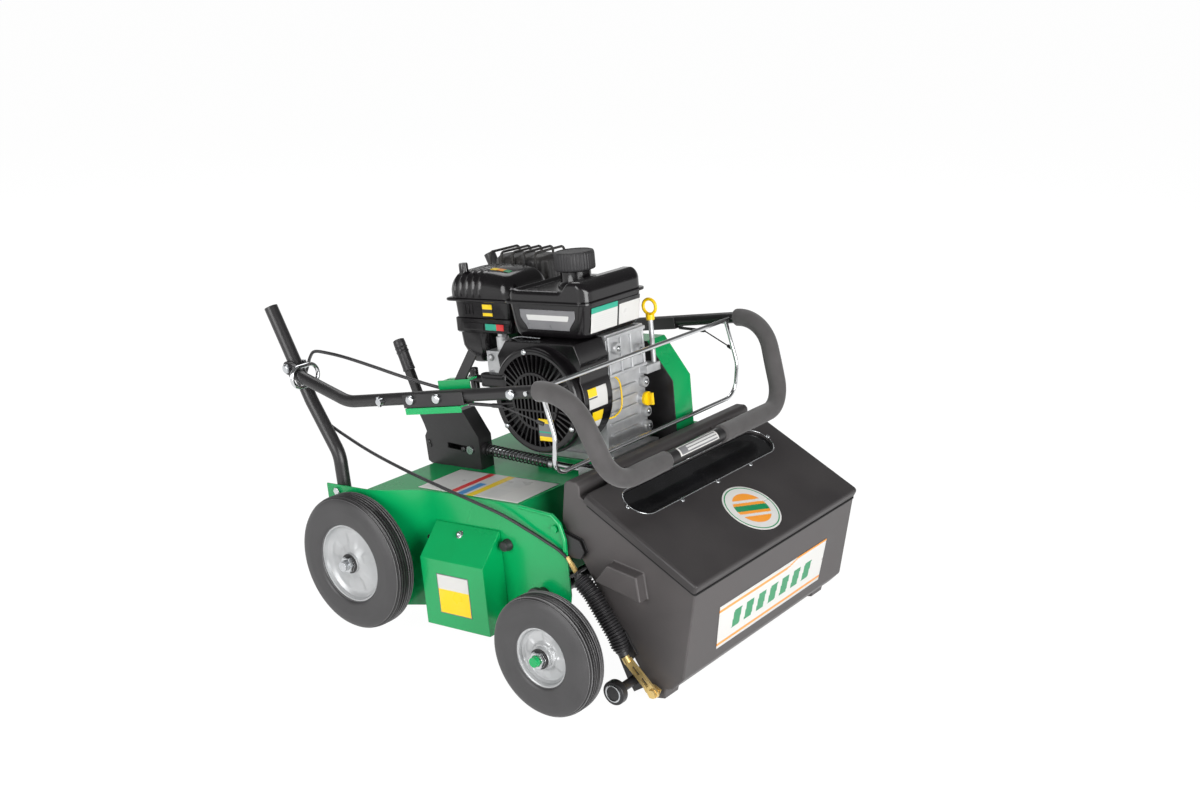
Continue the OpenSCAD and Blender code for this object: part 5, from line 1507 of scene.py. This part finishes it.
    def starter(self) -> None:
        """The recoil cover: a rounded rim, radial fins, an inner ring and upright bars over a dark disc, which paints
        the shade inside the blower seen through the gaps.
        """
        x, z = self.crank
        centre = np.array([x, 0, z])
        rim = lathe([(82, 146), (84, 154.2), (90, 156), (93.5, 155.4), (95.6, 153), (96, 149), (96, 140.3),
                     (84, 140.3), (82, 141)], centre, OUT, 120, True)
        ring = lathe([(47, 148), (47.5, 158.4), (52.5, 158.4), (53, 157), (53, 143), (47, 143)], centre, OUT, 96,
                     True)
        angle = np.linspace(0, 2 * np.pi, self.fins, endpoint=False)[:, None]
        spoke = np.hstack([np.cos(angle), 0 * angle, np.sin(angle)])
        side = np.hstack([-np.sin(angle), 0 * angle, np.cos(angle)])
        fins = bars(centre + 52 * spoke + [0, -145, 0], centre + 83.5 * spoke + [0, -144, 0], 1.5 * side,
                    (0, -10.5, 0))
        across = np.linspace(-40, 40, 10)
        chord = np.sqrt(48.5**2 - across**2)
        depth = np.full_like(across, self.grille_y)
        low, high = (np.stack([x + across, depth, z + end], -1) for end in (-chord, chord))
        uprights = bars(low, high, (1.6, 0, 0), (0, -13.2, 0))
        left, right = ([(x + end, self.grille_y, z + rise) for rise in (-17, 17)] for end in (-48, 48))
        waist = bars(left, right, (0, 0, 1.8), (0, -13.6, 0))
        spout = stacked([(294, 172, 232, -156, -141, 5), (296, 170.5, 232, -157, -141, 6),
                         (316, 170.5, 232, -157, -141, 6), (318, 172, 232, -156, -141, 5)], 6)
        piece("recoil_grille", joined(rim, ring, fins, uprights, waist, spout), ENGINE_PLASTIC,
              replaces=["recoil_cover"], sharp=34)
        # A dark disc behind the grille: painted shade in the gaps between the bars.
        piece("recoil_back", lathe([(0, 141), (86, 141), (86, 144.5), (0, 144.5)], centre, OUT, 64), SOFT_RUBBER)
        turn = np.radians([100.0, 215.0, 330.0])
        seats = np.stack([x + 89 * np.cos(turn), np.full(3, -155.8), z + 89 * np.sin(turn)], -1)
        piece("recoil_bolts", dome_heads(seats, OUT, 5.2, 3.4), BRIGHT_ZINC)
        from_solid("starter_grip", 2.5, segments=3)

    def round_cowl(self, angles: Span, along: Span) -> Surface:
        """A surface round the cowl.

        Args:
            angles: its two angles in degrees.
            along: its two places along the cowl.
        Returns:
            The cowl's cylinder between them, just outside the metal.
        """
        (a0, a1), (y0, y1), (x, z), r = angles, along, self.crank, self.cowl_radius + FILM_GAP

        def points(u: Array, v: Array) -> Array:
            """Points round the cowl by v and along it by u."""
            turn = np.radians(a0 + (a1 - a0) * v)
            return np.stack([x + r * np.cos(turn), y0 + (y1 - y0) * u, z + r * np.sin(turn)], -1)

        return points

    def labels(self) -> None:
        """Puts plain patches where the engine carries its prints."""
        def trapezoid(u: Array, v: Array) -> Array:
            """A plate that narrows downwards."""
            half = 48 + 15 * ease(v / 0.7)
            return np.stack([301 + (2 * u - 1) * half, np.full_like(u, -104.7), 394 + 36 * v], -1)

        # Two fields, one under a teal head and with pale lines, and one under a dark head.
        lines = ((0.05, 0.5, k / 12, (k + 0.4) / 12, Ink.PALE) for k in range(2, 8))
        PrintedPanel("tank_patch", flat((385.0, -90, 388), (0, 142, 0), (6.9, 0, 45)), fields(
            (0, 0.55, 0.78, 1, Ink.TEAL), (0.55, 1, 0.82, 1, Ink.BLACK), (0.535, 0.565, 0, 1, Ink.BLACK), *lines),
                     cells=(90, 36)).build()
        PrintedPanel("tank_plate", trapezoid, fields((0.12, 0.88, 0.45, 0.75, Ink.PALE)), Ink.GREY, (70, 26),
                     0.6).build()
        PrintedPanel("cowl_patch", self.round_cowl((-9, 12), (-128, -76)), fields(
            (0, 0.45, 0.6, 1, Ink.YELLOW), (0, 0.45, 0.5, 0.58, Ink.BLACK)), cells=(40, 30)).build()
        PrintedPanel("cowl_patch_low", self.round_cowl((-33, -13), (-118, -88)), fields((0, 1, 0, 0.42, Ink.WHITE)),
                     Ink.YELLOW, (30, 30)).build()
        PrintedPanel("starter_patch", flat((304, -160.2, 206), (34, 0, 0), (0, 0, 40)), fields(
            (0, 1, 0.8, 1, Ink.YELLOW), (0, 1, 0, 0.2, Ink.YELLOW), (0, 1, 0.36, 0.44, Ink.TEAL)), Ink.GREY,
                     (30, 30)).build()
        PrintedPanel("cleaner_patch", flat((112, -68.4, 404), (24, 0, 0), (0, 0, 22)),
                     fields((0, 1, 0.26, 0.58, Ink.BLACK)), Ink.YELLOW, (24, 22)).build()
        PrintedPanel("cleaner_stripe", flat((118, -72.2, 378), (46, 0, 0), (0, 0, 12)),
                     fields((0.6, 1, 0, 1, Ink.RED)), Ink.TEAL, (40, 12)).build()

    def exhaust(self) -> None:
        """The silencer: a tall rounded box whose wall is pressed in upright ribs by the angle about its middle."""
        def pressed(grid: Array) -> Array:
            """Pushes the wall out and in by a cosine of the angle, fading at the top and the foot."""
            way = (grid - np.array(self.silencer)) * [1, 1, 0]
            wave = np.cos(self.silencer_ribs * np.arctan2(way[..., 1], way[..., 0]))
            push = self.silencer_wave * wave * ease((self.silencer_top - 5 - grid[..., 2]) / 20)
            reach = np.linalg.norm(way, axis=-1, keepdims=True)
            return grid + way / np.maximum(reach, 1e-6) * (push * ease(reach[..., 0] / 20))[..., None]

        body = domed((23, 157), (61, 133), 272.5, lambda x, y: np.full_like(x, self.silencer_top), 34, 16, 14, 16, 40,
                     pressed)
        pipe = lathe([(14, 0), (14, 44.5), (12.5, 45), (11, 44.5), (11, 5), (12, 0)], (40, 97, 382), REARWARD, 32,
                     True)
        foot = bars([(139, 52.4, 276)], [(139, 66, 276)], (17, 0, 0), (0, 0, 26))
        piece("silencer", body + pipe + foot, EXHAUST_PAINT, replaces=["muffler"], sharp=45)
        from_solid("muffler_guard", 0.0, EXHAUST_PAINT, 60)

    def castings(self) -> None:
        """The crankcase, head and cowl, with bosses, ridges, bolts and a wire loop."""
        from_solid("crankcase", 2.0, segments=3)
        from_solids({"cylinder_head": 0.8, "carburettor": 1.6})
        from_solid("blower_housing", 4.0, angle=50, segments=3)
        lug = lathe([(0, -4), (11, -4), (10.5, 8), (9.5, 9.5), (0, 9.5)], (378, 54, 184), FORWARD, 32)
        steps = ((0, 0, 0), (0, 0, 28), (0, 0, 84), (10, -20, 150), (10, -86, 166))
        piece("case_bosses", joined(*(lug.moved(step) for step in steps)), CAST_ALLOY, sharp=45)
        low, high = ([(387, y, z) for y in (-52, -16, 14, 50)] for z in (302, 374))
        ridges = joined(bars(low, high, (0, 2.4, 0), (5.5, 0, 0)),
                        bars([(387, -56, 371)], [(387, 56, 371)], (0, 0, 3.5), (7, 0, 0)),
                        bars([(387, -56, 303)], [(387, 56, 303)], (0, 0, 3), (6, 0, 0)))
        piece("case_ridges", ridges, CAST_ALLOY, edges=1.2)
        seats = np.array([387.3, 54, 184]) + steps
        piece("case_bolts", dome_heads(seats, FORWARD, 6.0, 4.2, 6), BRIGHT_ZINC, edges=0.5)
        loop = spline([(376, -61, 306), (386, -48, 304), (389, -30, 292), (389, -24, 268), (389, -28, 240),
                       (387, -46, 228), (380, -61, 226)], 10)
        piece("ground_wire", wire(loop, 1.6, 10, (0.9, 0.2, 0.1)), YELLOW_PLASTIC, sharp=60)

    def fuel_feed(self) -> None:
        """The carburettor's bowl with its drain, stub, screws and top nut, and the governor's link."""
        bowl = spline([(0, 243), (12, 243), (17, 246), (18.5, 253), (18.5, 268), (20, 270), (20, 276), (0, 276)], 4)
        bits = joined(lathe(np.maximum(bowl, 0), self.bowl, UP, 40),
                      lathe([(0, 236), (6, 236), (6.5, 238), (6.5, 244), (0, 244)], self.bowl, UP, 6),
                      lathe([(0, 0), (12, 0), (12, 12), (10, 14), (0, 14)], (176, -62, 306), FORWARD, 28),
                      dome_heads([(131, -78, 328), (164, -78, 290), (128, -78, 296)], OUT, 7.0, 6.0),
                      lathe([(0, 362), (9, 362), (9, 371), (0, 371)], self.bowl, UP, 6))
        piece("carburettor_bowl", bits, CAST_ALLOY, sharp=40)
        link = spline([(166, -80, 330), (190, -98, 352), (216, -112, 372), (240, -116, 381), (288, -114, 380)], 8)
        piece("governor_link", wire(link, 1.3, 8), BRIGHT_ZINC, sharp=60)

    def build(self) -> None:
        """Makes the engine's pieces."""
        self.castings()
        self.fuel_feed()
        self.starter()
        self.tank()
        self.fuel_cap()
        self.cleaner()
        self.exhaust()
        self.labels()
        from_solid("dipstick", 0.6, angle=60)
        from_solid("oil_cap", 1.4, segments=3)


# ---------------------------------------------------------------- whole machine

def main() -> None:
    """Builds the studio and the machine."""
    logging.basicConfig(level=logging.INFO, format="%(message)s")
    for part in (Studio(), ControlCables(), *wheels(), DeckAndDrive(), HandleFrame(), DepthSetting(), SeedHopper(),
                 Engine()):
        part.build()


if __name__ == "__main__":
    main()
